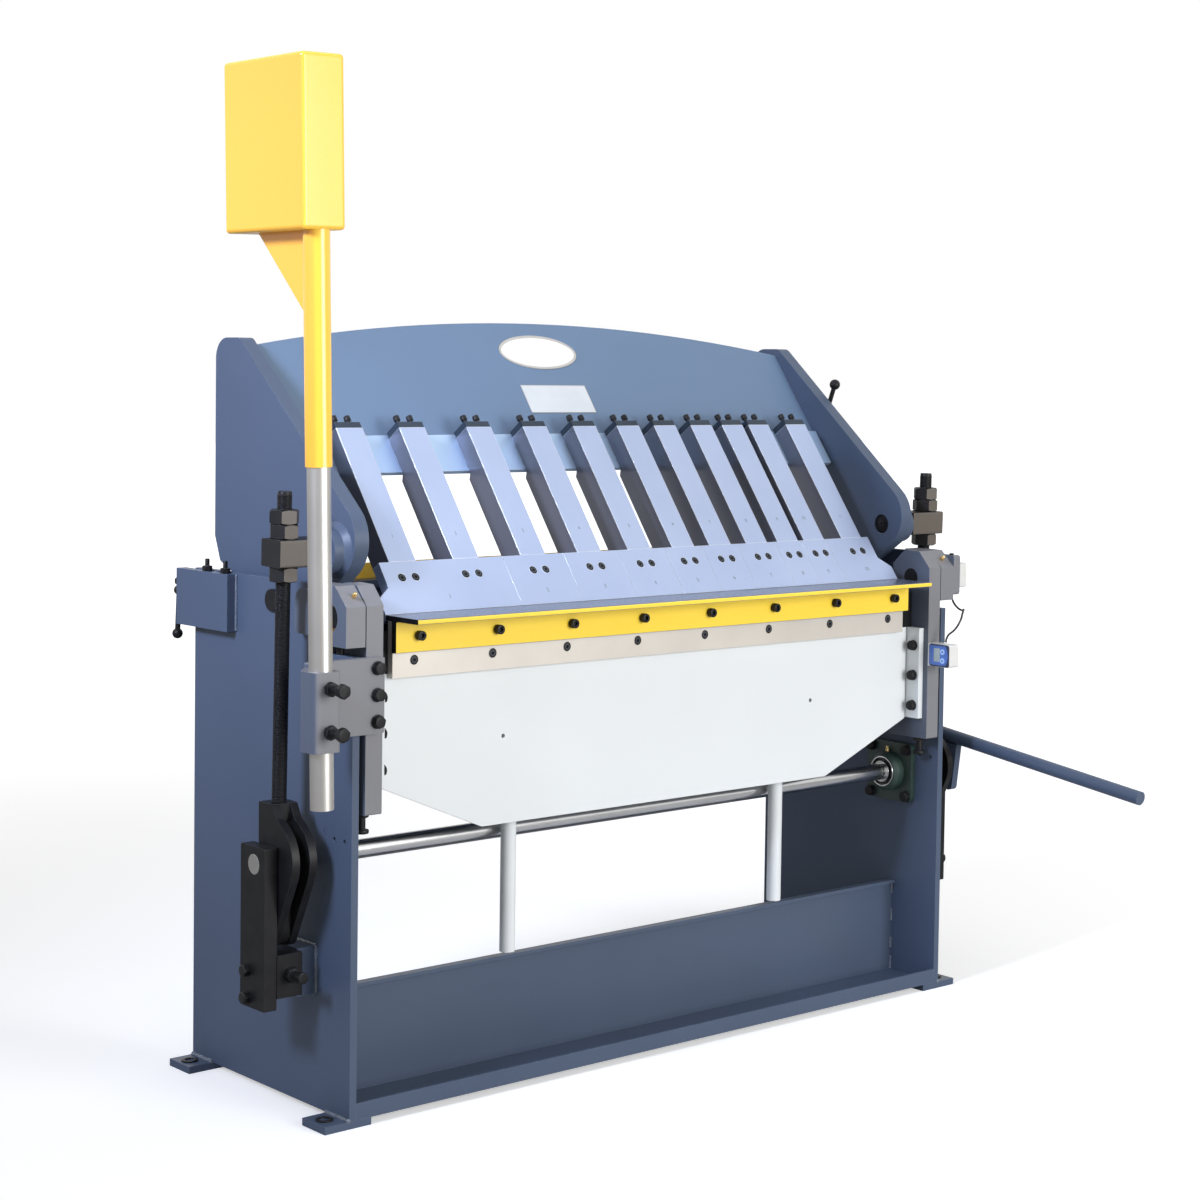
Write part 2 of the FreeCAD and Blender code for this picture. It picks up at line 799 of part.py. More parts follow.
# Clamp shaft, its cranks and the hand lever
left_end = half_bed + value("shaft_left_past_bed")
right_end = half_bed + value("shaft_right_past_bed")
keep("cross_shaft", rod((-left_end, shaft_y, shaft_z), "X", "Sizes.shaft_radius",
                        left_end + right_end))
crank_r = value("crank_radius")
crank_a = math.radians(value("crank_rest_angle"))
crank_y = shaft_y + crank_r * math.sin(crank_a)
crank_z = shaft_z - crank_r * math.cos(crank_a)
crank_t = value("crank_thickness")
crank_pin_r = value("crank_pin_radius")
link_half = value("link_gap") / 2 + value("link_plate")


def crank(side):
    web_plate = pad("X", belt([
        (shaft_y, shaft_z, shaft_r + 13), (crank_y, crank_z, crank_pin_r + 14),
    ][::-1]), "Sizes.crank_thickness", side * link_x - crank_t / 2, [(shaft_y, shaft_z, shaft_r)])
    return fuse(web_plate, rod((side * link_x - link_half, crank_y, crank_z), "X",
                               "Sizes.crank_pin_radius", 2 * link_half))


keep("cranks", group(*both_sides(crank)))

# The lever plate is square to the lever, which slopes down to the front
slope = value("handle_slope")
lever_turn = FreeCAD.Placement(
    Vector(0, shaft_y, shaft_z), FreeCAD.Rotation(Vector(1, 0, 0), slope))
plate_x = bar_out + 0.6
plate_t = value("handle_plate_thickness")
plate_front = -value("handle_plate_front")
plate_back = value("handle_plate_back")
plate_low = -value("handle_plate_drop")
offset = value("handle_offset")
handle_r = value("handle_radius")
lever_x = plate_x + plate_t / 2
keep("handle_plate", pad("X", rounded([
    (plate_front, plate_low, 10), (plate_back, plate_low, 10),
    (plate_back, offset - handle_r, 0), (plate_front, offset - handle_r, 0),
]), "Sizes.handle_plate_thickness", plate_x, [
    (0, 0, shaft_r), (plate_front + 16, plate_low + 18, 6),
]), lever_turn)
keep("handle_bar", fuse(
    rod((lever_x, plate_back, offset), "-Y", "Sizes.handle_radius", "Sizes.handle_length"),
    ball((lever_x, plate_back, offset), handle_r),
), lever_turn)


# Links: a C-shaped fork round the shaft, a threaded rod and a trunnion block
link_angle = math.atan2(trunnion_z - crank_z, trunnion_y - crank_y)
link_frame = FreeCAD.Rotation(Vector(1, 0, 0), math.degrees(link_angle) - 90)
fork_top = shaft_z + value("fork_top")
fork_floor = fork_top - 30
fork_head = fork_floor + 5 - trunnion_z
link_r = value("link_rod_radius")
nut_flat = value("nut_flat")
block_h = value("trunnion_block_height")
block_d = value("trunnion_block_half_depth")


def link_place(side):
    """The frame whose origin is the trunnion and whose Z runs up the threaded rod."""
    return FreeCAD.Placement(Vector(side * link_x, trunnion_y, trunnion_z), link_frame)


def on_link(side, piece):
    piece.Placement = link_place(side).multiply(piece.Placement)
    return piece


def link_fork(side):
    head_front = shaft_y - 16
    head_back = shaft_y + 28
    throat = value("fork_throat")
    outline = rounded([
        (head_back, fork_top, 3), (head_front, fork_top, 3), (head_front - 13, fork_floor + 6, 8),
        (shaft_y - value("fork_bulge"), shaft_z + 31.5, value("fork_bulge_radius")),
        (crank_y - 20, crank_z - 30, 20), (crank_y + 32, crank_z - 30, 30),
        (crank_y + 32, crank_z + 24, 14), (crank_y - 13, crank_z + 40, 30),
        (shaft_y - 22, shaft_z - 52, 30), (shaft_y - throat, shaft_z - 14, 20),
        (shaft_y - throat, shaft_z + throat - 1, 30), (head_back, shaft_z + throat - 1, 4),
    ])
    near = side * link_x - link_half
    far = side * link_x + link_half
    plates = [
        pad("X", outline, "Sizes.link_plate", start, [(crank_y, crank_z, crank_pin_r + running)])
        for start in (near, far - value("link_plate"))
    ]
    head = span((near, head_front, fork_floor), (far, head_back, fork_top))
    thread = on_link(side, rod((0, 0, fork_head), "Z", link_r, 60))
    return cut(fuse(*plates, head), thread)


def link_rod(side):
    top = value("link_rod_above")
    return on_link(side, rod((0, 0, fork_head), "Z", "Sizes.link_rod_radius", top - fork_head))


def link_nuts(side):
    """One nut below the trunnion block and two above it."""
    runs = ((-block_h / 2 - 26, 26), (block_h / 2, 25), (block_h / 2 + 26, 25))
    nuts = [hexagon((0, 0, low), "Z", nut_flat, length, 30) for low, length in runs]
    return on_link(side, cut(group(*nuts), rod((0, 0, -90), "Z", link_r, 220)))


def trunnion_block(side):
    width = value("trunnion_block_width")
    block = pad("X", rounded([
        (-block_d, -block_h / 2, 4), (block_d, -block_h / 2, 4),
        (block_d, block_h / 2, 4), (-block_d, block_h / 2, 4),
    ]), width, side_start(side, trunnion_in, width) - side * link_x)
    return on_link(side, cut(block, rod((0, 0, -60), "Z", link_r, 120)))


for side, word in ((1, "right"), (-1, "left")):
    keep(word + "_link_fork", link_fork(side))
    keep(word + "_link_rod", link_rod(side))
    keep(word + "_link_nuts", link_nuts(side))
    keep(word + "_trunnion_block", trunnion_block(side))

# Clamp beam: cheeks, arched plate and ground rail
lean = value("finger_lean")
finger_frame = FreeCAD.Placement(
    Vector(0, hinge_y, bed_top + value("nose_lift")), FreeCAD.Rotation(Vector(1, 0, 0), 90 - lean))
arch_back = value("rail_depth") + value("rail_thickness")
arch_t = value("arch_thickness")


def cheek(side, extras=()):
    outline = belt([
        (pivot_y, pivot_z, value("cheek_foot_radius")),
        (pivot_y + value("cheek_heel_back"), pivot_z + value("cheek_heel_up"),
         value("cheek_corner_radius")),
        (pivot_y + value("cheek_back"), pivot_z + value("cheek_back_up"),
         value("cheek_corner_radius")),
        (pivot_y + value("cheek_crown_back"), pivot_z + value("cheek_crown_up"),
         value("cheek_crown_radius")),
        (pivot_y + value("cheek_brow_back"), pivot_z + value("cheek_brow_up"),
         value("cheek_brow_radius")),
        (value("nose_y"), trunnion_z + value("nose_above_trunnion"), value("nose_radius")),
    ])
    plate = pad("X", outline, "Sizes.cheek_thickness", side_start(side, cheek_in, cheek_t),
                [(pivot_y, pivot_z, pivot_r + running)])
    face = (side * cheek_out, trunnion_y, trunnion_z)
    boss = rod(face, axis_out(side), "Sizes.boss_radius", "Sizes.boss_length")
    weld = cone(face, axis_out(side), value("boss_weld_radius"), value("boss_radius"),
                value("boss_weld_length"))
    stub = rod(face, axis_out(side), "Sizes.trunnion_pin_radius",
               trunnion_in - 0.3 - cheek_out)
    recess = rod((side * cheek_in, trunnion_y, trunnion_z), axis_out(side),
                 value("pin_recess_radius"), value("pin_recess_depth"))
    return cut(fuse(plate, boss, weld, stub, *extras), recess)


# The boss of the beam's ball lever is on the right cheek
cheek_out = cheek_in + cheek_t
brake_y = pivot_y + 95
brake_z = pivot_z + 303
lever_boss = cut(rod((cheek_out, brake_y, brake_z), "X", 20, 12),
                 rod((cheek_out - 1, brake_y, brake_z), "X", 8.05, 20))
keep("right_cheek", cheek(1, [lever_boss]))
keep("left_cheek", cheek(-1))

arch_low = value("arch_bottom")
arch_side = value("arch_side")
arch_top = Part.Arc(Vector(cheek_in, arch_side, 0), Vector(0, value("arch_crown"), 0),
                    Vector(-cheek_in, arch_side, 0))
arch = [
    Part.LineSegment(Vector(-cheek_in, arch_low, 0), Vector(cheek_in, arch_low, 0)),
    Part.LineSegment(Vector(cheek_in, arch_low, 0), Vector(cheek_in, arch_side, 0)),
    arch_top,
    Part.LineSegment(Vector(-cheek_in, arch_side, 0), Vector(-cheek_in, arch_low, 0)),
]
keep("arched_plate", pad("Z", arch, "Sizes.arch_thickness", -arch_back - arch_t), finger_frame)
rail_h = value("rail_top") - value("rail_bottom")
keep("clamp_rail", box((2 * cheek_in - 4, rail_h, "Sizes.rail_thickness"),
                       (-cheek_in + 2, value("rail_bottom"), -arch_back)), finger_frame)

# Fingers: eleven bars that hold ten shoes of graded width
# Their places are drawn for a bed that reaches 660 to each side, and stretch with the bed
stretch = half_bed / 660
BAR_CENTRES = [x * stretch for x in (
    -580, -438, -280, -142, -14.5, 101, 201.5, 303.5, 393, 470, 582)]
SHOE_BORDERS = [x * stretch for x in (
    -353.6, -207.2, -72.2, 49.8, 151, 247.2, 356.4, 430.2, 506.2)]
bar_w = value("finger_bar_width")
bar_d = value("finger_bar_depth")
bar_top = value("finger_bar_top")
tongue = value("finger_tongue")
shoe_h = value("shoe_height")
shoe_t = value("shoe_thickness")
rail_d = value("rail_depth")
rail_low = value("rail_bottom")
floor_slope = math.tan(math.radians(lean))
screw_step = value("finger_screw_pitch") / 2
finger_screw_r = value("finger_screw_radius")


def finger_bar(centre):
    """A bar with a tongue behind the shoe and a step that seats on the rail."""
    side_view = rounded([
        (tongue, -shoe_t, 0), (shoe_h, -shoe_t, 0), (shoe_h, 0, 0), (bar_top, 0, 0),
        (bar_top, -rail_d, 0), (rail_low - 4, -rail_d, 0), (rail_low - 14, -bar_d, 0),
        (tongue + (bar_d - shoe_t) * floor_slope, -bar_d, 0),
    ])
    return pad("X", side_view, "Sizes.finger_bar_width", centre - bar_w / 2)


keep("finger_bars", group(*[finger_bar(centre) for centre in BAR_CENTRES]), finger_frame)


def shoe(low, high, horn_low, horn_high):
    """A shoe whose bottom is cut level, so that its nose is sharp."""
    half_gap = value("shoe_gap") / 2
    step = value("horn_step")
    wide_low = low - (0 if horn_low else -half_gap)
    wide_high = high + (0 if horn_high else -half_gap)
    start = wide_low + (step if horn_low else 0)
    finish = wide_high - (step if horn_high else 0)
    front = [(wide_low, 0, 0), (wide_high, 0, 0)]
    if horn_high:
        front += [(wide_high, value("horn_bottom"), 0), (finish, value("horn_top"), 0)]
    front += [(finish, shoe_h, 0), (start, shoe_h, 0)]
    if horn_low:
        front += [(start, value("horn_top"), 0), (wide_low, value("horn_bottom"), 0)]
    face = pad("Z", rounded(front), "Sizes.shoe_thickness", -shoe_t)
    side_view = rounded([
        (0, 0, 0), (shoe_h, 0, 0), (shoe_h, -shoe_t, 0), (shoe_t * floor_slope, -shoe_t, 0),
    ])
    wedge = pad("X", side_view, wide_high - wide_low, wide_low)
    common = doc.addObject("Part::Common", "Shoe")
    common.Base = face
    common.Tool = wedge
    holes = [
        rod((centre + step, value("finger_screw_height"), -shoe_t - 1), "Z",
            finger_screw_r + 0.2, shoe_t + 2)
        for centre in BAR_CENTRES if low < centre < high for step in (-screw_step, screw_step)
    ]
    return cut(common, *holes)


cap_top = bar_top + value("cap_height")
borders = [-half_bed] + SHOE_BORDERS + [half_bed]
keep("finger_shoes", group(*[
    shoe(borders[i], borders[i + 1], i == 0, i == len(borders) - 2)
    for i in range(len(borders) - 1)
]), finger_frame)


def finger_cap(centre):
    """The clamp that hooks over the rail's top edge above a bar."""
    width = bar_w - 2
    return pad("X", rounded([
        (bar_top, 0, 2), (cap_top, 0, 2), (cap_top, -rail_d, 0), (bar_top, -rail_d, 0),
    ]), width, centre - width / 2)


keep("finger_caps", group(*[finger_cap(centre) for centre in BAR_CENTRES]), finger_frame)
cap_bolts = [
    rod((centre + step, cap_top, -value("cap_bolt_depth")), "Y", "Sizes.cap_bolt_radius", 8)
    for centre in BAR_CENTRES for step in (-screw_step, screw_step)
]
shoe_screws = [
    rod((centre + step, value("finger_screw_height"), -shoe_t), "Z", "Sizes.finger_screw_radius",
        shoe_t - 1)
    for centre in BAR_CENTRES for step in (-screw_step, screw_step)
]
keep("finger_screws", group(*cap_bolts, *shoe_screws), finger_frame)

# Folding leaf
angle_top = bed_top
angle_back = hinge_y
flange = value("angle_flange")
drop = value("angle_drop")
web_front = value("angle_web_front")
web_back = web_front + value("angle_web")
pitch = 2 * (half_bed - value("screw_margin")) / 7
columns = [(k - 3.5) * pitch for k in range(8)]
knob_shank = 5.0
knob_z = angle_top - value("knob_drop")
screw_r = 8.0
angle_profile = pad("X", rounded([
    (angle_back - value("angle_reach"), angle_top - flange, 3), (web_front, angle_top - flange, 4),
    (web_front, angle_top - drop, 2), (web_back, angle_top - drop, 0),
    (web_back, angle_top - flange, 0), (angle_back, angle_top - flange, 0),
    (angle_back, angle_top, 0), (angle_back - value("angle_reach"), angle_top, 3),
]), "Sizes.bed_length", -half_bed)
keep("leaf_angle", cut(angle_profile, *[
    rod((x, web_front - 1, knob_z), "Y", knob_shank, value("angle_web") + 2) for x in columns
]))
edge_t = value("edge_bar_thickness")
edge_z = angle_top - value("edge_bar_drop")
edge_screw_z = edge_z + value("edge_screw_rise")
half_edge = half_bed - value("edge_bar_short")
edge_bar = box((2 * half_edge, "Sizes.edge_bar_thickness", angle_top - flange - edge_z),
               (-half_edge, web_back, edge_z))
keep("leaf_edge_bar", cut(edge_bar, *[
    rod((x, web_back - 1, edge_screw_z), "Y", screw_r + 0.2, 7) for x in columns
]))
backing_y = web_back + edge_t
backing_z = angle_top - value("backing_drop")
keep("leaf_backing_bar", box((2 * arm_in, "Sizes.backing_thickness", jaw_z - 8 - backing_z),
                             (-arm_in, backing_y, backing_z)))


half_apron = half_bed + value("apron_past_bed")
apron_z = backing_z - value("apron_height")
apron_hole_z = apron_z + value("apron_hole_rise")
corner_z = apron_z + value("apron_corner_height")
corner_x = half_apron - value("apron_corner_length")
apron_sheet = pad("Y", rounded([
    (-corner_x, apron_z, 4), (corner_x, apron_z, 4), (half_apron, corner_z, 4),
    (half_apron, backing_z, 0), (-half_apron, backing_z, 0), (-half_apron, corner_z, 4),
]), "Sizes.apron_thickness", backing_y, [
    (side * value("apron_hole_x"), apron_hole_z, value("apron_hole_radius")) for side in (1, -1)
])
lug_in = arm_in - value("arm_lug_thickness")
lug_bolts_at = [backing_z - fall for fall in (36.8, 100, 164)]
lug_bolt_y = value("arm_lug_front") + 15.5


def lug_holes(side):
    return [rod((side * (lug_in - 5), lug_bolt_y, z), axis_out(side), 6, 60)
            for z in lug_bolts_at]


def apron_lug(side):
    low, high = sorted((side * lug_in, side * arm_in))
    lug = span((low, value("arm_lug_front"), corner_z + 2), (high, backing_y + 8, backing_z))
    return cut(lug, *lug_holes(side))


keep("apron", fuse(apron_sheet, *both_sides(apron_lug)))


def leaf_arm(side):
    outline = rounded([
        (block_y0, arm_bottom, 3), (block_y1, arm_bottom, 3), (block_y1, block_z1 - 30, 3),
        (65, block_z1 + 1, 3), (25, block_z1, 3), (block_y0, block_z1 - chamfer, 3),
    ])
    arm = pad("X", outline, "Sizes.arm_thickness", side_start(side, arm_in, arm_t),
              [(hinge_y, hinge_z, pin_r)])
    return cut(arm, *lug_holes(side))


keep("leaf_arms", group(*both_sides(leaf_arm)))
pin_end = block_out - value("hinge_recess")
sensor_in = block_out + value("outboard_block") + 1
keep("hinge_pins", group(
    rod((-arm_in, hinge_y, hinge_z), "-X", "Sizes.hinge_pin_radius", pin_end - arm_in),
    rod((arm_in, hinge_y, hinge_z), "X", "Sizes.hinge_pin_radius", sensor_in - arm_in),
))


def lift_rod(side):
    x = side * value("lift_rod_x")
    y = value("lift_rod_y")
    bottom = apron_z + value("lift_rod_grip") - value("lift_rod_length")
    bar = rod((x, y, bottom), "Z", "Sizes.lift_rod_radius", "Sizes.lift_rod_length")
    back = backing_y + value("apron_thickness")
    tabs = [span((x - 12, back, apron_z + rise), (x + 12, y, apron_z + rise + 30))
            for rise in (18, 128)]
    return fuse(bar, *tabs)


keep("lift_rods", group(*both_sides(lift_rod)))
keep("leaf_knobs", group(*[
    fuse(rod((x, web_front, knob_z), "-Y", "Sizes.knob_radius", "Sizes.knob_head"),
         rod((x, web_front, knob_z), "Y", knob_shank, "Sizes.angle_web"))
    for x in columns
]))
keep("leaf_screws", group(*[
    rod((x, web_back + 6, edge_screw_z), "-Y", screw_r, 6.5) for x in columns
]))


def arm_fasteners(side):
    pieces = [hex_bolt((side * lug_in, lug_bolt_y, z), axis_in(side), 40, 18, 11)
              for z in lug_bolts_at]
    x = side * (arm_in + arm_t / 2)
    jack = fuse(rod((x, 30, arm_bottom), "-Z", 7, 30), rod((x, 30, arm_bottom - 30), "-Z", 13, 7),
                hexagon((x, 30, arm_bottom), "-Z", 22, 9))
    return pieces + [jack]


# Balance pole on the left arm
pole_x = half_bed + value("pole_past_bed")
bracket_end = half_bed + value("bracket_past_bed")
pole_y = value("pole_y")
pole_r = value("pole_radius")
bracket_t = value("bracket_sheet")
bracket_face = block_y0 - bracket_t
bracket_top = hinge_z - value("bracket_drop")
bracket_low = bracket_top - value("bracket_height")
bracket = pad("Y", rounded([
    (-bracket_end, bracket_low, 4), (-arm_in - 7, bracket_low, 4),
    (-arm_in - 7, bracket_top, 4), (-bracket_end, bracket_top, 4),
]), "Sizes.bracket_sheet", bracket_face)
bracket_bolts_at = [(-arm_in - 22, bracket_top - fall) for fall in (18, 64, 110)]
bracket_flat = 20.0
keep("pole_bracket", cut(bracket, *[
    rod((x, bracket_face - 1, z), "Y", bracket_flat / 3, bracket_t + 2)
    for x, z in bracket_bolts_at
]))
pole_frame = FreeCAD.Placement(
    Vector(-pole_x, pole_y, hinge_z + value("pole_above_hinge")),
    FreeCAD.Rotation(Vector(0, 1, 0), -value("pole_lean")))
socket_z = hinge_z - value("socket_drop")
socket_left = -half_bed - value("socket_left_past_bed")
socket_right = -half_bed - value("socket_right_past_bed")
socket_front = value("socket_front")
neck_back = bracket_face - value("socket_neck") + 4
socket_block = pad("Z", rounded([
    (socket_left, socket_front, 12), (socket_right, socket_front, 6),
    (socket_right, bracket_face, 0), (socket_right - 26, bracket_face, 0),
    (socket_left, neck_back, 6),
]), "Sizes.socket_height", socket_z)
bore_low = socket_z - hinge_z - value("pole_above_hinge") - 10
bore = rod((0, 0, bore_low), "Z", "Sizes.pole_radius", value("socket_height") + 30)
bore.Placement = pole_frame.multiply(bore.Placement)
clamp_screws_at = [(-pole_x + 4, socket_z + rise) for rise in (106.5, 34.8)]
clamp_r = 7.0
keep("pole_socket", cut(socket_block, bore, *[
    rod((x, socket_front - 1, z), "Y", clamp_r, 10) for x, z in clamp_screws_at
]))
pole_low = -value("pole_reach_down")
weight_z = value("weight_start")
pole_length = weight_z + 100 - pole_low
keep("balance_pole", rod((0, 0, pole_low), "Z", "Sizes.pole_radius", pole_length), pole_frame)

sleeve_low = value("sleeve_start")
weight_w = value("weight_width")
weight_d = value("weight_depth")
weight_front = value("weight_front")
weight_box = box(("Sizes.weight_width", "Sizes.weight_depth", "Sizes.weight_height"),
                 (-weight_w / 2, weight_front, weight_z))
weight_round = doc.addObject("Part::Fillet", "Corners")
weight_round.Base = weight_box
weight_round.Edges = [(edge, 7.0, 7.0) for edge in range(1, 13)]
sleeve = rod((0, 0, sleeve_low), "Z", "Sizes.sleeve_radius", weight_z + 4 - sleeve_low)
gusset = pad("X", rounded([
    (0, weight_z - 165, 0), (weight_d * 0.72, weight_z + 4, 0), (0, weight_z + 4, 0),
]), 8, -4)
core = rod((0, 0, sleeve_low - 5), "Z", pole_r, weight_z + 100 - sleeve_low + 5)
keep("counterweight", cut(fuse(weight_round, sleeve, gusset), core), pole_frame)



def clamp_screw(x, z):
    """A set screw that grips the pole, with its lock nut on the socket's front."""
    tip = socket_front + 4
    length = value("clamp_screw_length")
    return fuse(rod((x, tip, z), "-Y", clamp_r, length),
                hexagon((x, socket_front, z), "-Y", 22, 10),
                hexagon((x, socket_front - length + 12, z), "-Y", 22, 12))


clamp_screws = [clamp_screw(x, z) for x, z in clamp_screws_at]
bracket_bolts = [hex_bolt((x, bracket_face, z), "-Y", bracket_t, bracket_flat, 12)
                 for x, z in bracket_bolts_at]
keep("leaf_bolts", group(*arm_fasteners(1), *arm_fasteners(-1), *clamp_screws, *bracket_bolts))

# Angle display on the right arm, its sensor and the cable between them
display_z = hinge_z - value("display_drop")
display_w = value("display_width")
display_h = value("display_height")
panel_x = arm_in
button_y = block_y0 - 40.5
buttons_at = [(button_y, display_z + 32.4), (button_y, display_z + 13.6)]
button_r = value("button_radius")
housing = pad("X", rounded([
    (block_y0 - display_w, display_z, 5), (block_y0, display_z, 0),
    (block_y0, display_z + display_h, 0), (block_y0 - display_w, display_z + display_h, 5),
]), "Sizes.display_depth", panel_x)
pockets = [rod((panel_x - 1, y, z), "X", button_r + 0.3, 5) for y, z in buttons_at]
keep("display_housing", cut(housing, *pockets))
for number, (y, z) in enumerate(buttons_at, start=1):
    keep("display_button_%d" % number,
         rod((panel_x - 1.6, y, z), "X", "Sizes.button_radius", 3.2))
sensor_half = 30.0
sensor_rise = 26.0
sensor = pad("X", rounded([
    (hinge_y - sensor_half, hinge_z - sensor_rise, 5),
    (hinge_y + sensor_half, hinge_z - sensor_rise, 5),
    (hinge_y + sensor_half, hinge_z + sensor_rise, 5),
    (hinge_y - sensor_half, hinge_z + sensor_rise, 5),
]), "Sizes.sensor_length", sensor_in)
gland_y = hinge_y - 22
gland_x = sensor_in + 8
gland_low = hinge_z - sensor_rise - 8
gland = rod((gland_x, gland_y, hinge_z - sensor_rise), "-Z", 4.5, 8)
keep("angle_sensor", fuse(sensor, gland))

CABLE_FLATS = 10
CABLE_ROUTE = [
    (gland_x, gland_y, gland_low),
    (gland_x, gland_y, gland_low - 17),
    (806, 7, 812),
    (796, -18, 808),
    (775, -39, 816),
    (757, -50, 808),
    (744, -58, 796),
    (735, -50, 774),
    (panel_x + 18, block_y0 - 33, display_z + display_h + 16),
    (panel_x + 18, block_y0 - 33, display_z + display_h),
]


def cable(points, radius):
    """A tube along straight runs joined by tangent arcs."""
    route = [Vector(*point) for point in points]
    edges = []
    start = route[0]
    for i in range(1, len(route) - 1):
        back = route[i - 1] - route[i]
        ahead = route[i + 1] - route[i]
        shorter = min(back.Length, ahead.Length)
        back.normalize()
        ahead.normalize()
        half = back.getAngle(ahead) / 2
        run = 0.45 * shorter
        bend = run * math.tan(half)
        print("cable arc radius %.1f mm" % bend)
        first = route[i] + back * run
        last = route[i] + ahead * run
        middle = route[i] + (back + ahead).normalize() * (bend / math.sin(half) - bend)
        edges.append(Part.LineSegment(start, first).toShape())
        edges.append(Part.Arc(first, middle, last).toShape())
        start = last
    edges.append(Part.LineSegment(start, route[-1]).toShape())
    spine = Part.Wire(edges)
    direction = route[1] - route[0]
    across = direction.cross(Vector(1, 0, 0)).normalize() * radius
    turns = [FreeCAD.Rotation(direction, 360 / CABLE_FLATS * k) for k in range(CABLE_FLATS + 1)]
    ring = Part.makePolygon([route[0] + turn.multVec(across) for turn in turns])
    tube = spine.makePipeShell([ring], True, False)
    length = sum(edge.Length for edge in edges)
    section = CABLE_FLATS / 2 * radius ** 2 * math.sin(2 * math.pi / CABLE_FLATS)
    print("cable volume %.1f, section times length %.1f" % (tube.Volume, section * length))
    return tube


cord = doc.addObject("Part::Feature", "Cable")
cord.Shape = cable(CABLE_ROUTE, value("cable_radius"))
keep("display_cable", cord)


# Lock lever block at the rear of the left plate, and the ball lever on the right cheek
lock_z = plate_top - value("lock_lever_drop")
lock_block = span((lock_x - value("lock_block_width") / 2, lock_front,
                   lock_top - value("lock_block_height")), (-outside, lock_back, lock_top))
lock_pin_y = lock_back - 20
lock_holes = [rod((lock_x, lock_pin_y - 2, lock_z), "Y", 6.05, 30)]
lock_holes += [rod((lock_x, lock_front + ahead, lock_top - 20), "Z", stud_r, 30)
               for ahead in studs_at]
keep("lock_block", cut(lock_block, *lock_holes))


def ball_lever(pivot, axis, hub, head, rod_end, ball_radius):
    """A turning pin, its head and a rod with a ball. Hub and head are (radius, length) pairs."""
    ahead = TURNS[axis].multVec(Vector(0, 0, 1))
    head_at = Vector(*pivot) + ahead * hub[1]
    start = head_at + ahead * (head[1] / 2)
    arm_line = Vector(*rod_end) - start
    arm_rod = doc.addObject("Part::Cylinder", "LeverRod")
    arm_rod.Radius = 5.0
    arm_rod.Height = arm_line.Length
    arm_rod.Placement = FreeCAD.Placement(start, FreeCAD.Rotation(Vector(0, 0, 1), arm_line))
    return fuse(rod(pivot, axis, *hub), rod(head_at[:], axis, *head), arm_rod,
                ball(rod_end, ball_radius))


keep("lock_lever", ball_lever(
    (lock_x, lock_pin_y, lock_z), "Y", (6.0, 22), (8.5, 10),
    (lock_x, lock_back + 12, lock_z - 82), 10))
keep("beam_lever", ball_lever(
    (cheek_out + 0.3, brake_y, brake_z), "X", (8.0, 12), (13.0, 16),
    (cheek_out + 20, brake_y - 34, brake_z + 88), 11.5))

doc.recompute()

failed = [item.Label for item in doc.Objects if "Invalid" in item.State or "Error" in item.State]
if failed:
    raise RuntimeError("failed features: " + ", ".join(failed))
for name, piece in NODES.items():
    if piece.Shape.isNull() or not piece.Shape.isValid():
        raise RuntimeError("bad shape: " + name)

os.makedirs("parts", exist_ok=True)
for name, piece in NODES.items():
    piece.Shape.exportStep("parts/%s.step" % name)
solids = sum(len(piece.Shape.Solids) for piece in NODES.values())
print("%d nodes, %d solids" % (len(NODES), solids))
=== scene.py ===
# %% [markdown]
# # A pan brake, dressed for its photograph
#
# The machine is a sheet-metal folder. Its plates, bars, shafts and links come ready made
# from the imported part. This file gives each of them its finish, adds the small hardware
# that shows (screws, threads, welds, numbers), and sets up the light and the camera.
#
# Lengths are metres. The origin is on the floor, at the centre of the four foot holes.
# X runs along the bend line, Y runs to the back and Z runs up.

# %% Load the machine
import math

import bpy
from mathutils import Matrix, Vector


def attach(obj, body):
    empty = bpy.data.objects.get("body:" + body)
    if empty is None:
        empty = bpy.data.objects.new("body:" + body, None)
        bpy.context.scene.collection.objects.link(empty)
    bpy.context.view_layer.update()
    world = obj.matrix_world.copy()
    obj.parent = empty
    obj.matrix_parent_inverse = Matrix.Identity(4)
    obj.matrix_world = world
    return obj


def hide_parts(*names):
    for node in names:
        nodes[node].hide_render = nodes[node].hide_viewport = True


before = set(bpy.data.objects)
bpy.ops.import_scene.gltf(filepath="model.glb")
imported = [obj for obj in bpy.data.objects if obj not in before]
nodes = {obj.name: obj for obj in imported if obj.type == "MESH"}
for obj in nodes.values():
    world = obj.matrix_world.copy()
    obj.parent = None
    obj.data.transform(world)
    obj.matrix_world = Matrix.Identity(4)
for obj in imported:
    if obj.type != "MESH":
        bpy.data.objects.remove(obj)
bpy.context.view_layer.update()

# %% [markdown]
# ## Places on the machine
#
# The machine was measured from the front faces of its side plates, which stand 257.5 mm in
# front of the origin. Reading every place in those millimetres keeps the numbers easy to
# compare with a rule held against the real thing. The fingers lean back, so they get a
# plane of their own: its X is the bend line, its Y climbs the fingers and its Z points out
# of their faces.

# %% Millimetres to places
PLATE_FRONT = 257.5
SHAFT_Y, SHAFT_Z = 126, 454  # the cross shaft
TRUNNION_Y, TRUNNION_Z = 120, 989  # the pins that the trunnion blocks hang on
CRANK_Y, CRANK_Z = 133.53, 334.24  # the crank pins, with the clamp closed
LINK_X = 824  # the links, to both sides of the middle
NOSE_Y, NOSE_Z = 47, 878.5  # the line where the fingers meet the bed
FINGER_LEAN = math.radians(36)
SIDES = (1, -1)  # right and left


def at(x, y, z):
    """A point given in millimetres from the plate fronts."""
    return Vector((x, y - PLATE_FRONT, z)) / 1000


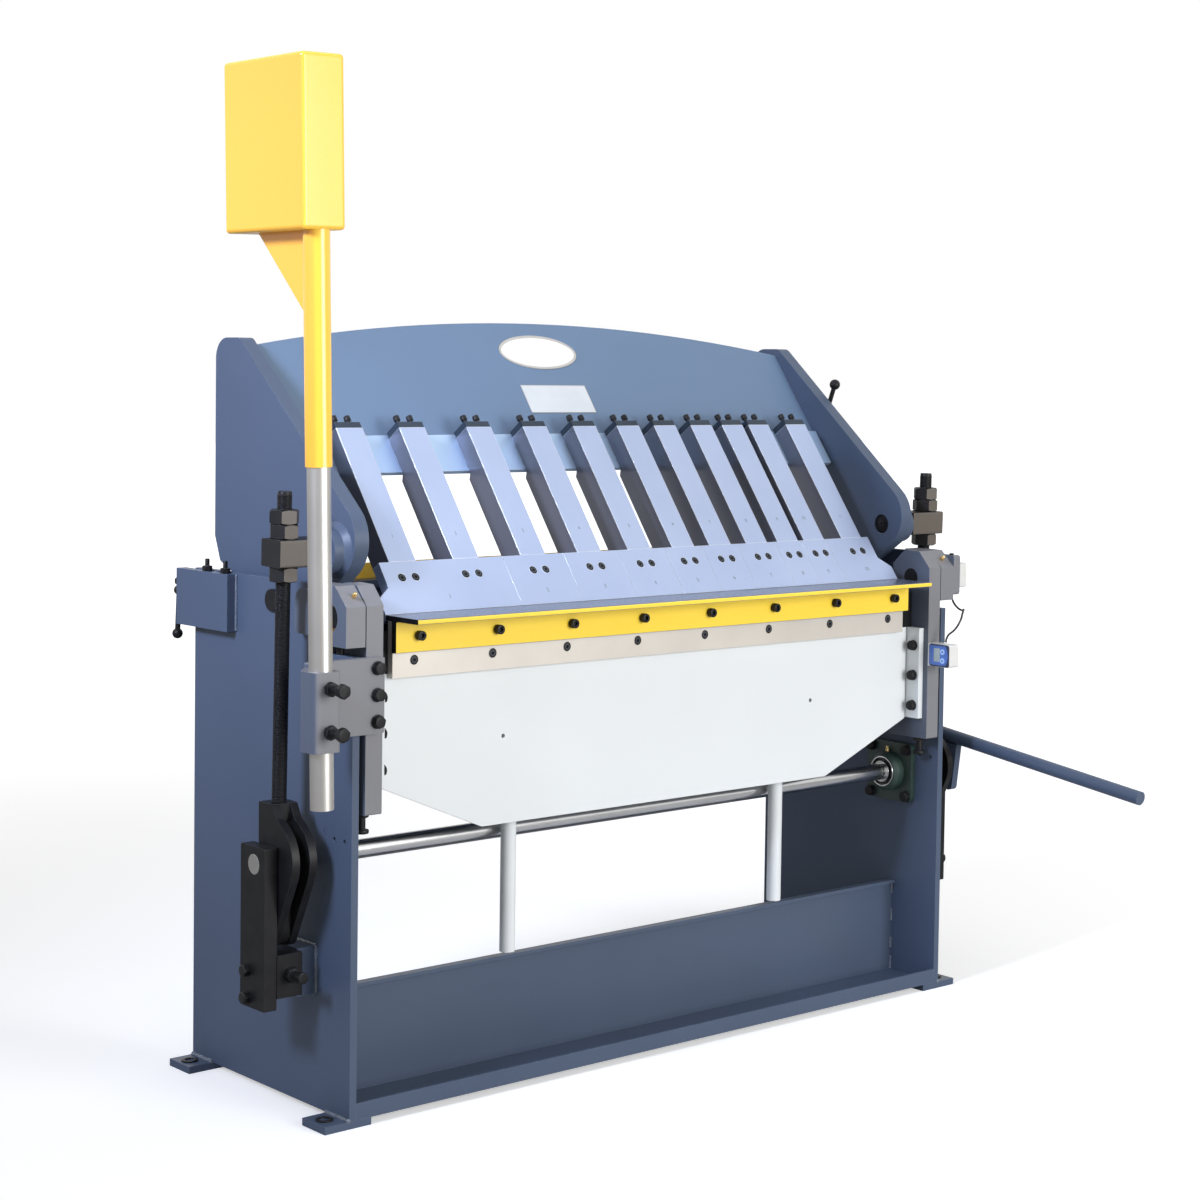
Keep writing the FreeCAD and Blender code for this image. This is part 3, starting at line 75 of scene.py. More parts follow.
finger_plane = Matrix.Translation(at(0, NOSE_Y, NOSE_Z)) @ Matrix.Rotation(
    math.pi / 2 - FINGER_LEAN, 4, "X")
print("finger face looks along", [round(v, 3) for v in finger_plane.to_3x3().col[2]])

# %% [markdown]
# ## Camera
#
# The photograph was taken from the front left, a little above the machine's head, with a
# long lens. Its place and lens were worked out from measured edges, so the picture lines
# up point for point. The frame was cropped off centre, which is what the lens shift is for.

# %% Camera
YAW = math.radians(-40.67)
PITCH = math.radians(2.72)
ROLL = math.radians(0.77)
CAMERA_PLACE = at(-3056.45, -3302.51, 1312.92)
SENSOR_MM = 36
LENS_MM = 70.85
LENS_SHIFT = (0.0025, -0.0996)
look = Vector((-math.sin(YAW) * math.cos(PITCH), math.cos(YAW) * math.cos(PITCH),
               -math.sin(PITCH)))
right = look.cross(Vector((0, 0, 1))).normalized()
up = right.cross(look)
right, up = (right * math.cos(ROLL) + up * math.sin(ROLL),
             up * math.cos(ROLL) - right * math.sin(ROLL))
bpy.ops.object.camera_add()
camera = bpy.context.object
camera.name = "camera"
camera.matrix_world = Matrix.Translation(CAMERA_PLACE) @ Matrix(
    (right, up, -look)).transposed().to_4x4()
camera.data.sensor_width = SENSOR_MM
camera.data.lens = LENS_MM
camera.data.shift_x, camera.data.shift_y = LENS_SHIFT
bpy.context.scene.camera = camera
bpy.context.scene.view_settings.view_transform = "Standard"
print("camera at", [round(v, 3) for v in camera.location])

# %% [markdown]
# ## Cable of the angle display
#
# A thin black cable hangs in a loop from the sensor on the leaf's pivot to the display. It
# is made as a smooth curve through the air with a round section, because a cable has no
# corners. It is the same route that the part's own cable follows.

# %% Cable
CABLE_POINTS = [
    (808, 25, 846), (808, 25, 829), (806, 7, 812), (796, -18, 808), (775, -39, 816),
    (757, -50, 808), (744, -58, 796), (735, -50, 774), (720, -38, 761), (720, -38, 745),
]
CABLE_RADIUS = 0.0022
line = bpy.data.curves.new("display_cable_loop", "CURVE")
line.dimensions = "3D"
spline = line.splines.new("NURBS")
spline.points.add(len(CABLE_POINTS) - 1)
for point, place in zip(spline.points, CABLE_POINTS):
    point.co = (*at(*place), 1)
    point.radius = CABLE_RADIUS
spline.order_u = 3
spline.use_endpoint_u = True
line.bevel_depth = 1.0
line.bevel_resolution = 5
line.resolution_u = 12
line.use_fill_caps = True
cable = bpy.data.objects.new("display_cable_loop", line)
bpy.context.scene.collection.objects.link(cable)
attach(cable, "folding_leaf")
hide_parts("display_cable")
print("cable points", len(CABLE_POINTS))

# %% [markdown]
# ## Floor and light
#
# The machine stands on a plain white ground. The floor is a matt sheet that also glows a
# little towards the camera, and more with distance, so that it reads as white while it
# still keeps the soft shadow under the feet. The world glows white for the camera and for
# reflections, which is what bright steel needs, and lights the machine more gently. Large
# lamps do the modelling. Shaders are nets of nodes, so a small helper makes a node and
# fills in its inputs.


# %% Nodes
def node(net, kind, operation=None, **values):
    """A new shader node, with values for its inputs (a _ stands for a space)."""
    made = net.nodes.new("ShaderNode" + kind)
    if operation:
        made.operation = operation
    for name, value in values.items():
        made.inputs[name.replace("_", " ")].default_value = value
    return made


# %% Floor
FLOOR_LIT, FLOOR_SEEN = 0.60, 0.82  # how white it is to the light, and to the camera
GLOW_NEAR, GLOW_FAR = 0.42, 0.95  # its glow by the machine, and far away
FADE_START, FADE_END = 1.0, 7.0  # where the glow begins to grow, and where it ends
bpy.ops.mesh.primitive_plane_add(size=60, location=(0, 0, 0))
floor = bpy.context.object
floor.name = "floor"
floor_finish = bpy.data.materials.new("white_ground")
floor_finish.use_nodes = True
net = floor_finish.node_tree
net.nodes.clear()
rays = node(net, "LightPath")
tone = node(net, "MapRange", To_Min=FLOOR_LIT, To_Max=FLOOR_SEEN)
matt = node(net, "BsdfDiffuse")
where = node(net, "TexCoord")
away = node(net, "VectorMath", "LENGTH")
fade = node(net, "MapRange", From_Min=FADE_START, From_Max=FADE_END,
            To_Min=GLOW_NEAR, To_Max=GLOW_FAR)
lift = node(net, "Math", "MULTIPLY")
glow = node(net, "Emission")
both = node(net, "AddShader")
finish = node(net, "OutputMaterial")
net.links.new(rays.outputs["Is Camera Ray"], tone.inputs["Value"])
net.links.new(tone.outputs["Result"], matt.inputs["Color"])
net.links.new(where.outputs["Object"], away.inputs[0])
net.links.new(away.outputs["Value"], fade.inputs["Value"])
net.links.new(rays.outputs["Is Camera Ray"], lift.inputs[0])
net.links.new(fade.outputs["Result"], lift.inputs[1])
net.links.new(lift.outputs[0], glow.inputs["Strength"])
net.links.new(matt.outputs[0], both.inputs[0])
net.links.new(glow.outputs[0], both.inputs[1])
net.links.new(both.outputs[0], finish.inputs["Surface"])
floor.data.materials.append(floor_finish)
print("floor glows from", GLOW_NEAR, "to", GLOW_FAR)

# %% World
WORLD_LIGHT, WORLD_SEEN = 0.42, 1.0  # as a light, and as it is seen or mirrored
world = bpy.data.worlds.new("studio")
bpy.context.scene.world = world
world.use_nodes = True
net = world.node_tree
net.nodes.clear()
rays = node(net, "LightPath")
shown = node(net, "Math", "MAXIMUM")
clear = node(net, "Math", "MAXIMUM")
strength = node(net, "MapRange", To_Min=WORLD_LIGHT, To_Max=WORLD_SEEN)
sky = node(net, "Background", Color=(1, 1, 1, 1))
out = node(net, "OutputWorld")
net.links.new(rays.outputs["Is Camera Ray"], shown.inputs[0])
net.links.new(rays.outputs["Is Transmission Ray"], shown.inputs[1])
net.links.new(shown.outputs[0], clear.inputs[0])
net.links.new(rays.outputs["Is Glossy Ray"], clear.inputs[1])
net.links.new(clear.outputs[0], strength.inputs["Value"])
net.links.new(strength.outputs["Result"], sky.inputs["Strength"])
net.links.new(sky.outputs[0], out.inputs["Surface"])
print("world lights with", WORLD_LIGHT)


# %% Lamps
def lamp(name, place, aim, size, power, tint=(1, 1, 1), spread=180):
    """A square soft lamp that looks at a point, with a beam that is spread degrees wide."""
    bpy.ops.object.light_add(type="AREA", location=place)
    light = bpy.context.object
    light.name = name
    light.data.size = size
    light.data.energy = power
    light.data.color = tint
    light.data.spread = math.radians(spread)
    light.rotation_euler = (Vector(aim) - Vector(place)).to_track_quat("-Z", "Y").to_euler()


lamp("key_lamp", (0.9, -5.3, 1.6), (0, 0, 0.9), size=2.4, power=215)
lamp("left_lamp", (-3.8, -0.6, 3.0), (-0.6, 0, 1.2), size=0.9, power=14.5,
     tint=(0.68, 0.76, 1.0), spread=42)
lamp("top_lamp", (0, -0.8, 4.6), (0, 0, 0.8), size=2.6, power=14)

# %% [markdown]
# ## Finishes
#
# Every finish starts from the same few steps, so one helper lays them out: a colour that
# drifts gently between two shades, a roughness that drifts with it, and a fine bump. The
# edges are softened in the shader, because real edges are never perfectly sharp and the
# thin line of light along them is what makes metal look like metal. Many finishes also
# paint their edges a lighter colour, which is partly wear and partly a painted highlight.


# %% The common finish
COAT_ROUGHNESS = 0.12
DRIFT_LOW, DRIFT_HIGH = 0.3, 0.7  # the part of the noise in which the colour drifts
RELIEF_DEPTH = 0.0004
FACE_START, FACE_FULL = 0.6, 0.8  # how squarely a face looks along an axis
# The edge colour is laid where the softened edge turns from its face: partly wear, partly a
# painted highlight.
WEAR_GLINT_START, WEAR_GLINT_FULL = 0.995, 0.93  # how far the softened edge turns from its face


def shade(name, first, second, roughness, metallic=0.0, patch=6.0, grain=900.0, bump=0.04,
          spread=0.06, edge=0.0006, stretch=(1, 1, 1), coat=0.0, shine=0.5, wear_and_glint=None,
          faces=()):
    """A material whose colour drifts from first to second in patches of 1/patch metres.
    The colour given for the edges lightens them, partly as wear and partly as a painted
    highlight; faces pairs an axis with the colour of the faces that look along it, which on
    some finishes is painted light or shade."""
    made = bpy.data.materials.new(name)
    made.use_nodes = True
    net = made.node_tree
    join = net.links.new
    body = net.nodes["Principled BSDF"]
    body.inputs["Metallic"].default_value = metallic
    body.inputs["Specular IOR Level"].default_value = shine
    if coat:
        body.inputs["Coat Weight"].default_value = coat
        body.inputs["Coat Roughness"].default_value = COAT_ROUGHNESS
    where = node(net, "TexCoord")
    turned = node(net, "Mapping", Scale=stretch)
    clouds = node(net, "TexNoise", Scale=patch, Detail=5)
    fine = node(net, "TexNoise", Scale=grain, Detail=2)
    join(where.outputs["Object"], turned.inputs["Vector"])
    join(where.outputs["Object"], clouds.inputs["Vector"])
    join(turned.outputs[0], fine.inputs["Vector"])
    ramp = node(net, "MapRange", From_Min=DRIFT_LOW, From_Max=DRIFT_HIGH)
    blend = node(net, "MixRGB", Color1=(*first, 1), Color2=(*second, 1))
    join(clouds.outputs["Fac"], ramp.inputs["Value"])
    join(ramp.outputs["Result"], blend.inputs["Fac"])
    rough = node(net, "MapRange", To_Min=roughness - spread, To_Max=roughness + spread)
    join(fine.outputs["Fac"], rough.inputs["Value"])
    join(rough.outputs["Result"], body.inputs["Roughness"])
    soft = node(net, "Bevel", Radius=edge)
    soft.samples = 4
    relief = node(net, "Bump", Strength=bump, Distance=RELIEF_DEPTH)
    join(fine.outputs["Fac"], relief.inputs["Height"])
    join(soft.outputs[0], relief.inputs["Normal"])
    join(relief.outputs[0], body.inputs["Normal"])
    flat = node(net, "NewGeometry")
    colour = blend.outputs["Color"]

    def lay_over(under, paint, amount):
        """Paint one colour over another where amount is 1."""
        mix = node(net, "MixRGB", Color2=(*paint, 1))
        join(amount, mix.inputs["Fac"])
        join(under, mix.inputs["Color1"])
        return mix.outputs["Color"]

    for axis, paint in faces:
        parts = node(net, "SeparateXYZ")
        size = node(net, "Math", "ABSOLUTE")
        limit = node(net, "MapRange", From_Min=FACE_START, From_Max=FACE_FULL)
        join(flat.outputs["Normal"], parts.inputs[0])
        join(parts.outputs[axis], size.inputs[0])
        join(size.outputs[0], limit.inputs["Value"])
        colour = lay_over(colour, paint, limit.outputs["Result"])
    # Paint the edges lighter: partly wear, partly a painted highlight.
    if wear_and_glint:
        turn = node(net, "VectorMath", "DOT_PRODUCT")
        wear_glint = node(net, "MapRange", From_Min=WEAR_GLINT_START, From_Max=WEAR_GLINT_FULL)
        join(soft.outputs[0], turn.inputs[0])
        join(flat.outputs["Normal"], turn.inputs[1])
        join(turn.outputs["Value"], wear_glint.inputs["Value"])
        colour = lay_over(colour, wear_and_glint, wear_glint.outputs["Result"])
    join(colour, body.inputs["Base Color"])
    return made


def dress(finish, *names):
    """Give one finish to CAD nodes."""
    for name in names:
        obj = nodes[name]
        obj.data.materials.clear()
        obj.data.materials.append(finish)


# %% [markdown]
# ### Enamels
#
# The plates are sprayed in a satin slate blue with a fine orange-peel grain. The leaf's
# angle and its balance weight are a brighter, glossier yellow, the apron is off-white, and
# the two bearing castings keep a thick dark green. The arched plate and the fronts of the
# arms are painted paler than the slate, as painted light, and the sides of the arms and of
# the yellow weight and gauge bar are painted darker, as painted shade. The angle's ends are
# black and its lip on top a dark blue grey.

# %% Enamels
SATIN = dict(patch=3.0, grain=1400, bump=0.10, spread=0.05, edge=0.0010)
GLOSS = dict(patch=4.0, grain=1200, bump=0.06, spread=0.04, edge=0.0012, coat=0.3)
slate = shade("slate_enamel", (0.066, 0.090, 0.141), (0.075, 0.101, 0.155), 0.38,
              shine=0.26, wear_and_glint=(0.13, 0.17, 0.25), **SATIN)
# The arched plate wears the same slate paint; its paler colour is painted light, for the sky it
# faces.
sky_lit_slate = shade("sky_lit_slate_enamel", (0.124, 0.187, 0.284), (0.132, 0.198, 0.300), 0.38,
                   shine=0.3, wear_and_glint=(0.28, 0.34, 0.44), **SATIN)
# The arms, hinge blocks and pole bracket wear the same slate paint: the grey of their fronts is
# painted light, and the darker slate blue of their sides is painted shade.
front_lit_slate = shade("front_lit_slate_enamel", (0.185, 0.186, 0.200), (0.200, 0.201, 0.215), 0.40,
                 shine=0.35, wear_and_glint=(0.26, 0.28, 0.31), faces=(("X", (0.090, 0.108, 0.145)),),
                 **SATIN)
# Its sides, which look along X, are painted a darker orange: painted shade.
yellow = shade("yellow_enamel", (0.94, 0.57, 0.050), (0.95, 0.59, 0.060), 0.27,
               faces=(("X", (0.92, 0.44, 0.045)),), **GLOSS)
angle_yellow = shade("yellow_rail_enamel", (0.94, 0.65, 0.052), (0.95, 0.67, 0.062), 0.27,
                     faces=(("X", (0.010, 0.010, 0.012)), ("Z", (0.085, 0.105, 0.150))),
                     **GLOSS)
white = shade("white_enamel", (0.68, 0.71, 0.72), (0.71, 0.74, 0.75), 0.42,
              patch=3.0, grain=1400, bump=0.08, spread=0.05, edge=0.0008)
cast_green = shade("green_casting", (0.020, 0.042, 0.036), (0.028, 0.055, 0.045), 0.42,
                   patch=30.0, grain=320, bump=0.5, spread=0.08, edge=0.0015)
dress(slate, "left_side_plate", "right_side_plate", "foot_pads", "shaft_brackets",
      "base_channel", "bed_beam", "rear_cross_member", "left_cheek", "right_cheek",
      "lock_block", "handle_plate", "handle_bar")
dress(sky_lit_slate, "arched_plate")
dress(front_lit_slate, "leaf_arms", "hinge_blocks", "pole_bracket", "pole_socket")
dress(yellow, "counterweight", "back_gauge_bar")
dress(angle_yellow, "leaf_angle")
dress(white, "apron", "lift_rods")
dress(cast_green, "bearing_housings")
print("enamels", [made.name for made in (
    slate, sky_lit_slate, front_lit_slate, yellow, angle_yellow, white, cast_green)])

# %% [markdown]
# ### Bare steel
#
# The fingers and the bed jaw are surface ground: the wheel leaves fine lines across the
# bar, and the faces show a cool, even grey, while the flanks of the bars are painted
# darker, as painted shade. The folding edge is a milled bar of a warmer grey. The pole and
# the cross shaft are drawn bright bar, with their lines along them.

# %% Bare steel
ALONG_X, ALONG_Y, ALONG_Z = (1, 14, 14), (14, 1, 14), (14, 14, 1)
GROUND = dict(patch=5.0, grain=260, bump=0.05, spread=0.08, stretch=ALONG_X)
# The near white edge colour of the ground steels is a painted highlight along their edges.
ground = shade("ground_steel", (0.41, 0.49, 0.69), (0.46, 0.54, 0.74), 0.40, metallic=0.7,
               edge=0.0008, wear_and_glint=(0.88, 0.92, 0.97), **GROUND)
rail_steel = shade("rail_steel", (0.44, 0.60, 0.84), (0.48, 0.65, 0.89), 0.42, metallic=0.6,
                   edge=0.0008, wear_and_glint=(0.88, 0.92, 0.97), **GROUND)
# The flanks of the bars, which look along X, are painted dark grey: painted shade.
finger_steel = shade("finger_steel", (0.41, 0.49, 0.69), (0.46, 0.54, 0.74), 0.40,
                     metallic=0.7, edge=0.0018, wear_and_glint=(0.95, 0.97, 1.0),
                     faces=(("X", (0.20, 0.21, 0.26)),), **GROUND)
milled = shade("milled_edge", (0.55, 0.51, 0.46), (0.62, 0.58, 0.52), 0.45, metallic=0.35,
               patch=7.0, grain=240, bump=0.06, spread=0.08, edge=0.0008, stretch=ALONG_Y)
bright = shade("bright_bar", (0.56, 0.54, 0.51), (0.62, 0.60, 0.57), 0.33, metallic=0.9,
               patch=9.0, grain=260, bump=0.04, spread=0.08, edge=0.0008, stretch=ALONG_Z)
shaft_steel = shade("shaft_steel", (0.58, 0.58, 0.58), (0.65, 0.65, 0.65), 0.22,
                    metallic=1.0, patch=9.0, grain=260, bump=0.03, spread=0.05,
                    edge=0.0008, stretch=ALONG_X)
dress(ground, "finger_shoes", "bed_jaw")
dress(finger_steel, "finger_bars")
dress(rail_steel, "clamp_rail")
dress(milled, "leaf_edge_bar")
dress(bright, "balance_pole")
dress(shaft_steel, "cross_shaft", "bearing_inserts")
print("steels", [made.name for made in (
    ground, rail_steel, finger_steel, milled, bright, shaft_steel)])

# %% [markdown]
# ### Blackened steel, brass and plastics
#
# Screws, links and blocks are blackened with a thin oil film. Nipples and bushes are
# turned brass and bronze, and the display is moulded plastic.

# %% Blackened steel, brass and plastics
OXIDE = dict(bump=0.12, spread=0.10, edge=0.0006, grain=900)
TURNED = dict(metallic=1.0, patch=60.0, grain=1500, bump=0.05, edge=0.0003)
MOULDED = dict(patch=60.0, grain=2500, bump=0.03)
black = shade("black_oxide", (0.006, 0.006, 0.007), (0.011, 0.011, 0.012), 0.40,
              patch=40.0, shine=0.22, wear_and_glint=(0.06, 0.06, 0.07), **OXIDE)
# Its fronts, which look along Y, get a lighter brown grey over the black scale: a painted
# reflection.
scale_and_sheen = shade("mill_scale_and_sheen", (0.010, 0.010, 0.011), (0.016, 0.015, 0.015), 0.42,
               patch=30.0, shine=0.25, wear_and_glint=(0.10, 0.10, 0.10),
               faces=(("Y", (0.115, 0.100, 0.084)),), **OXIDE)
blue_black = shade("cap_black", (0.022, 0.034, 0.052), (0.030, 0.044, 0.064), 0.42,
                   patch=20.0, bump=0.10, spread=0.08, edge=0.0008, shine=0.3)
brass = shade("turned_brass", (0.75, 0.55, 0.25), (0.80, 0.60, 0.28), 0.25, **TURNED)
bronze = shade("bronze_bush", (0.45, 0.28, 0.13), (0.52, 0.33, 0.16), 0.35, **TURNED)
case_white = shade("case_plastic", (0.64, 0.64, 0.62), (0.68, 0.68, 0.66), 0.40,
                   patch=30.0, grain=2500, bump=0.08, edge=0.0008)
panel_blue = shade("panel_blue", (0.050, 0.125, 0.42), (0.060, 0.145, 0.46), 0.30,
                   edge=0.0003, **MOULDED)
button_blue = shade("button_blue", (0.33, 0.52, 0.88), (0.38, 0.57, 0.92), 0.35,
                    edge=0.0005, **MOULDED)
navy = shade("bezel_navy", (0.012, 0.018, 0.050), (0.016, 0.024, 0.062), 0.35,
             edge=0.0005, **MOULDED)
sheath = shade("cable_sheath", (0.010, 0.010, 0.013), (0.015, 0.015, 0.018), 0.45,
               patch=60.0, grain=2000, bump=0.08, edge=0.0002)
dress(black, "support_blocks", "outboard_bars", "cranks", "left_link_fork", "right_link_fork",
      "left_link_rod", "right_link_rod", "left_link_nuts", "right_link_nuts", "frame_bolts",
      "leaf_bolts", "beam_pivot_pins", "finger_screws", "leaf_knobs", "leaf_screws",
      "lock_lever", "beam_lever", "leaf_backing_bar", "hinge_pins")
dress(scale_and_sheen, "left_trunnion_block", "right_trunnion_block")
dress(blue_black, "finger_caps")
dress(brass, "grease_nipples")
dress(bronze, "hinge_bushes")
dress(case_white, "display_housing", "angle_sensor")
dress(button_blue, "display_button_1", "display_button_2")
cable.data.materials.append(sheath)
undressed = [name for name, obj in nodes.items() if not obj.data.materials]
print("nodes without a finish:", undressed)

# %% [markdown]
# ## Hardware
#
# Screws and bolts are what tell an eye how big a machine is, so they are modelled closely.
# Each kind is made once, lying at the origin with its head pointing up Z, and then copied
# to every place where it sits. A copy takes its own mesh, and its place is written into the
# mesh, so that all pieces keep their pattern of finish when the machine moves. Places are
# given in the millimetres of the machine, or along the plane of the fingers.


# %% Working steps
def pick(obj):
    """Make one object the only selected one, and the active one."""
    bpy.ops.object.select_all(action="DESELECT")
    obj.select_set(True)
    bpy.context.view_layer.objects.active = obj


def settle(obj):
    """Write an object's place into its mesh."""
    pick(obj)
    bpy.ops.object.transform_apply(location=True, rotation=True, scale=True)


def apply_all(obj):
    """Apply every modifier of an object, in order."""
    pick(obj)
    for step in list(obj.modifiers):
        bpy.ops.object.modifier_apply(modifier=step.name)


def carve(obj, tool, how="DIFFERENCE"):
    """Cut one object with another, which is then removed."""
    step = obj.modifiers.new("carve", "BOOLEAN")
    step.operation = how
    step.object = tool
    apply_all(obj)
    bpy.data.objects.remove(tool)


def ease(obj, width, segments=2, angle=40):
    """Round the sharp edges of an object and shade its curves smooth."""
    step = obj.modifiers.new("ease", "BEVEL")
    step.width = width
    step.segments = segments
    step.limit_method = "ANGLE"
    step.angle_limit = math.radians(angle)
    apply_all(obj)
    bpy.ops.object.shade_smooth_by_angle(angle=math.radians(32))


def drum(radius, length, base=0.0, sides=48):
    """A plain disc or pin from a height up Z."""
    bpy.ops.mesh.primitive_cylinder_add(
        vertices=sides, radius=radius, depth=length, location=(0, 0, base + length / 2))
    made = bpy.context.object
    settle(made)
    return made


def weld_together(name, pieces):
    """Join objects into one named piece."""
    bpy.ops.object.select_all(action="DESELECT")
    for piece in pieces:
        piece.select_set(True)
    bpy.context.view_layer.objects.active = pieces[0]
    if len(pieces) > 1:
        bpy.ops.object.join()
    made = bpy.context.object
    made.name = name
    made.data.name = name
    return made


def finish_piece(piece, material, body, stands_for=()):
    """Give a piece its finish and the body that it moves with."""
    settle(piece)
    piece.data.materials.clear()
    piece.data.materials.append(material)
    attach(piece, body)
    if stands_for:
        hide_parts(*stands_for)
    return piece


# %% Places of copies
FRONT, BACK, DOWN = (0, -1, 0), (0, 1, 0), (0, 0, -1)


def facing(axis, turn=0.0):
    """The turn that points a piece's Z along an axis, after a spin about Z."""
    aim = Vector(axis).to_track_quat("Z", "Y").to_matrix().to_4x4()
    return aim @ Matrix.Rotation(math.radians(turn), 4, "Z")


def upright(x, y, z):
    """A place in millimetres for a piece that keeps its own directions."""
    return Matrix.Translation(at(x, y, z))


def stand(x, y, z, axis, turn=0.0):
    """A place in millimetres for a piece whose Z points along an axis."""
    return upright(x, y, z) @ facing(axis, turn)


def on_fingers(x, y, out=0.0):
    """A place x metres along the bend line, y up the fingers and out from their faces."""
    return finger_plane @ Matrix.Translation((x, y, out))


def copies(master, places):
    """A copy of a piece, with its own mesh, at each place. The piece itself goes away."""
    made = []
    for place in places:
        twin = master.copy()
        twin.data = master.data.copy()
        bpy.context.scene.collection.objects.link(twin)
        twin.matrix_world = place
        settle(twin)
        made.append(twin)
    bpy.data.objects.remove(master)
    return made


def fit(name, master, places, material, body, stands_for=()):
    """Join the copies of a piece at all its places into one named and finished piece."""
    return finish_piece(weld_together(name, copies(master, places)), material, body,
                        stands_for)


# %% [markdown]
# ### Socket screws
#
# The folding leaf and the fingers are held by socket cap screws: a round head with a
# knurled rim and a six-sided hole for the key. The rim is knurled by drawing in every
# other corner of a many-sided drum, and the hole is cut with a six-sided one.


# %% Socket cap screw
def socket_screw(radius, height):
    """A round head with a knurled rim and a six-sided key hole."""
    head = drum(radius, height, sides=60)
    pick(head)
    bpy.ops.object.mode_set(mode="EDIT")
    bpy.ops.mesh.select_all(action="DESELECT")
    bpy.ops.object.mode_set(mode="OBJECT")
    for corner in head.data.vertices:
        step = round(math.degrees(math.atan2(corner.co.y, corner.co.x)) / 6)
        corner.select = step % 2 == 0
    bpy.ops.object.mode_set(mode="EDIT")
    bpy.ops.transform.resize(value=(0.965, 0.965, 1))
    bpy.ops.object.mode_set(mode="OBJECT")
    bpy.ops.mesh.primitive_cylinder_add(
        vertices=6, radius=radius * 0.54, depth=height, location=(0, 0, height))
    carve(head, bpy.context.object)
    ease(head, radius * 0.07, segments=2, angle=50)
    return head


SCREW_PITCH = 174.7
SCREW_COUNT = 8
SCREW_X = [(k - (SCREW_COUNT - 1) / 2) * SCREW_PITCH for k in range(SCREW_COUNT)]
knobs = fit("leaf_knob_heads", socket_screw(0.0087, 0.012),
            [stand(x, 15.4, 842.6, FRONT, 7 * k) for k, x in enumerate(SCREW_X)],
            black, "folding_leaf", ["leaf_knobs"])
print("knob heads", len(knobs.data.polygons), "faces")

# %% [markdown]
# ### Sunk screws
#
# The folding edge and the finger shoes are held by screws that lie in round seats. What
# shows is a dark ring, the head inside it and its key hole. The dark ring is painted
# shadow: a thin near black disc round the head stands for the shade in the seat. The
# seat's rim stands a hair above the ground face, as a burred edge does.


# %% Sunk screw
def sunk_screw(radius):
    """The head, a near black disc of painted shadow for its seat, and the burred rim of a screw
    that is sunk in a face.
    """
    head = socket_screw(radius * 0.72, radius * 0.4)
    head.data.transform(Matrix.Translation((0, 0, -radius * 0.25)))
    # A thin near black disc round the head: painted shadow of the seat.
    shadow_disc = drum(radius * 0.98, radius * 0.05)
    bpy.ops.mesh.primitive_torus_add(
        major_radius=radius, minor_radius=radius * 0.07, major_segments=48, minor_segments=6)
    return head, shadow_disc, bpy.context.object


# The near black of the seats is painted shadow.
seat_shade = shade("seat_shadow", (0.004, 0.004, 0.006), (0.007, 0.007, 0.009), 0.6,
                  patch=60.0, grain=900, bump=0.05, edge=0.0002, shine=0.1)
head_grey = shade("screw_head_grey", (0.035, 0.038, 0.042), (0.055, 0.060, 0.066), 0.40,
                  patch=60.0, grain=900, bump=0.10, edge=0.0004, shine=0.2,
                  wear_and_glint=(0.20, 0.21, 0.23))
BAR_CENTRES = (-580, -438, -280, -142, -14.5, 101, 201.5, 303.5, 393, 470, 582)
PAIR_HALF = 0.015
FINGER_PAIRS = [(x, side) for x in BAR_CENTRES for side in (-1, 1)]
EDGE_PLACES = [stand(x, 28.4, 798.3, FRONT, 11 * k) for k, x in enumerate(SCREW_X)]
SHOE_PLACES = [on_fingers(x / 1000 + side * PAIR_HALF, 0.0725) @ Matrix.Rotation(x + side, 4, "Z")
               for x, side in FINGER_PAIRS]
CAP_PLACES = [on_fingers(x / 1000 + side * PAIR_HALF, 0.4185, -0.014) @ facing(BACK, x)
              for x, side in FINGER_PAIRS]
cap_screw = weld_together("cap_screw", [
    socket_screw(0.0062, 0.0100), drum(0.0040, 0.012, base=-0.011, sides=24)])
fit("cap_screws", cap_screw, CAP_PLACES, black, "clamp_beam",
    ["finger_screws"])
head, shadow_disc, rim = sunk_screw(0.0090)
fit("edge_bar_screws", head, EDGE_PLACES, head_grey, "folding_leaf",
    ["leaf_screws"])
fit("edge_bar_seat_shadows", shadow_disc, EDGE_PLACES, seat_shade, "folding_leaf")
fit("edge_bar_rims", rim, EDGE_PLACES, milled, "folding_leaf")
head, shadow_disc, rim = sunk_screw(0.0084)
fit("shoe_screws", head, SHOE_PLACES, head_grey, "clamp_beam",
    ["finger_screws"])
fit("shoe_seat_shadows", shadow_disc, SHOE_PLACES, seat_shade, "clamp_beam")
fit("shoe_rims", rim, SHOE_PLACES, ground, "clamp_beam")
print("sunk screws", len(EDGE_PLACES) + len(SHOE_PLACES), "cap screws", len(CAP_PLACES))

# %% [markdown]
# ### Pin ends
#
# Each cheek has a round recess on its inner face, and at its bottom lies the dark end of the
# trunnion pin with the screw that draws it in.

# %% Pin ends
pin_end = drum(0.0196, 0.0035)
ease(pin_end, 0.0008)
pin_screw = socket_screw(0.0070, 0.0040)
pin_screw.data.transform(Matrix.Translation((0, 0, 0.0030)))
pin_ends = fit("trunnion_pin_ends", weld_together("pin_end", [pin_end, pin_screw]),
               [stand(side * 693.8, TRUNNION_Y, TRUNNION_Z, (-side, 0, 0)) for side in SIDES],
               black, "clamp_beam")
print("pin ends", len(pin_ends.data.polygons), "faces")

# %% [markdown]
# ### Hexagon bolts and nuts
#
# The corners of a hexagon head are turned off by a cone, which leaves the curved edges that
# every bolt has. So the head is a six-sided prism that is kept only where a cone also is.
# Under it lies a washer.


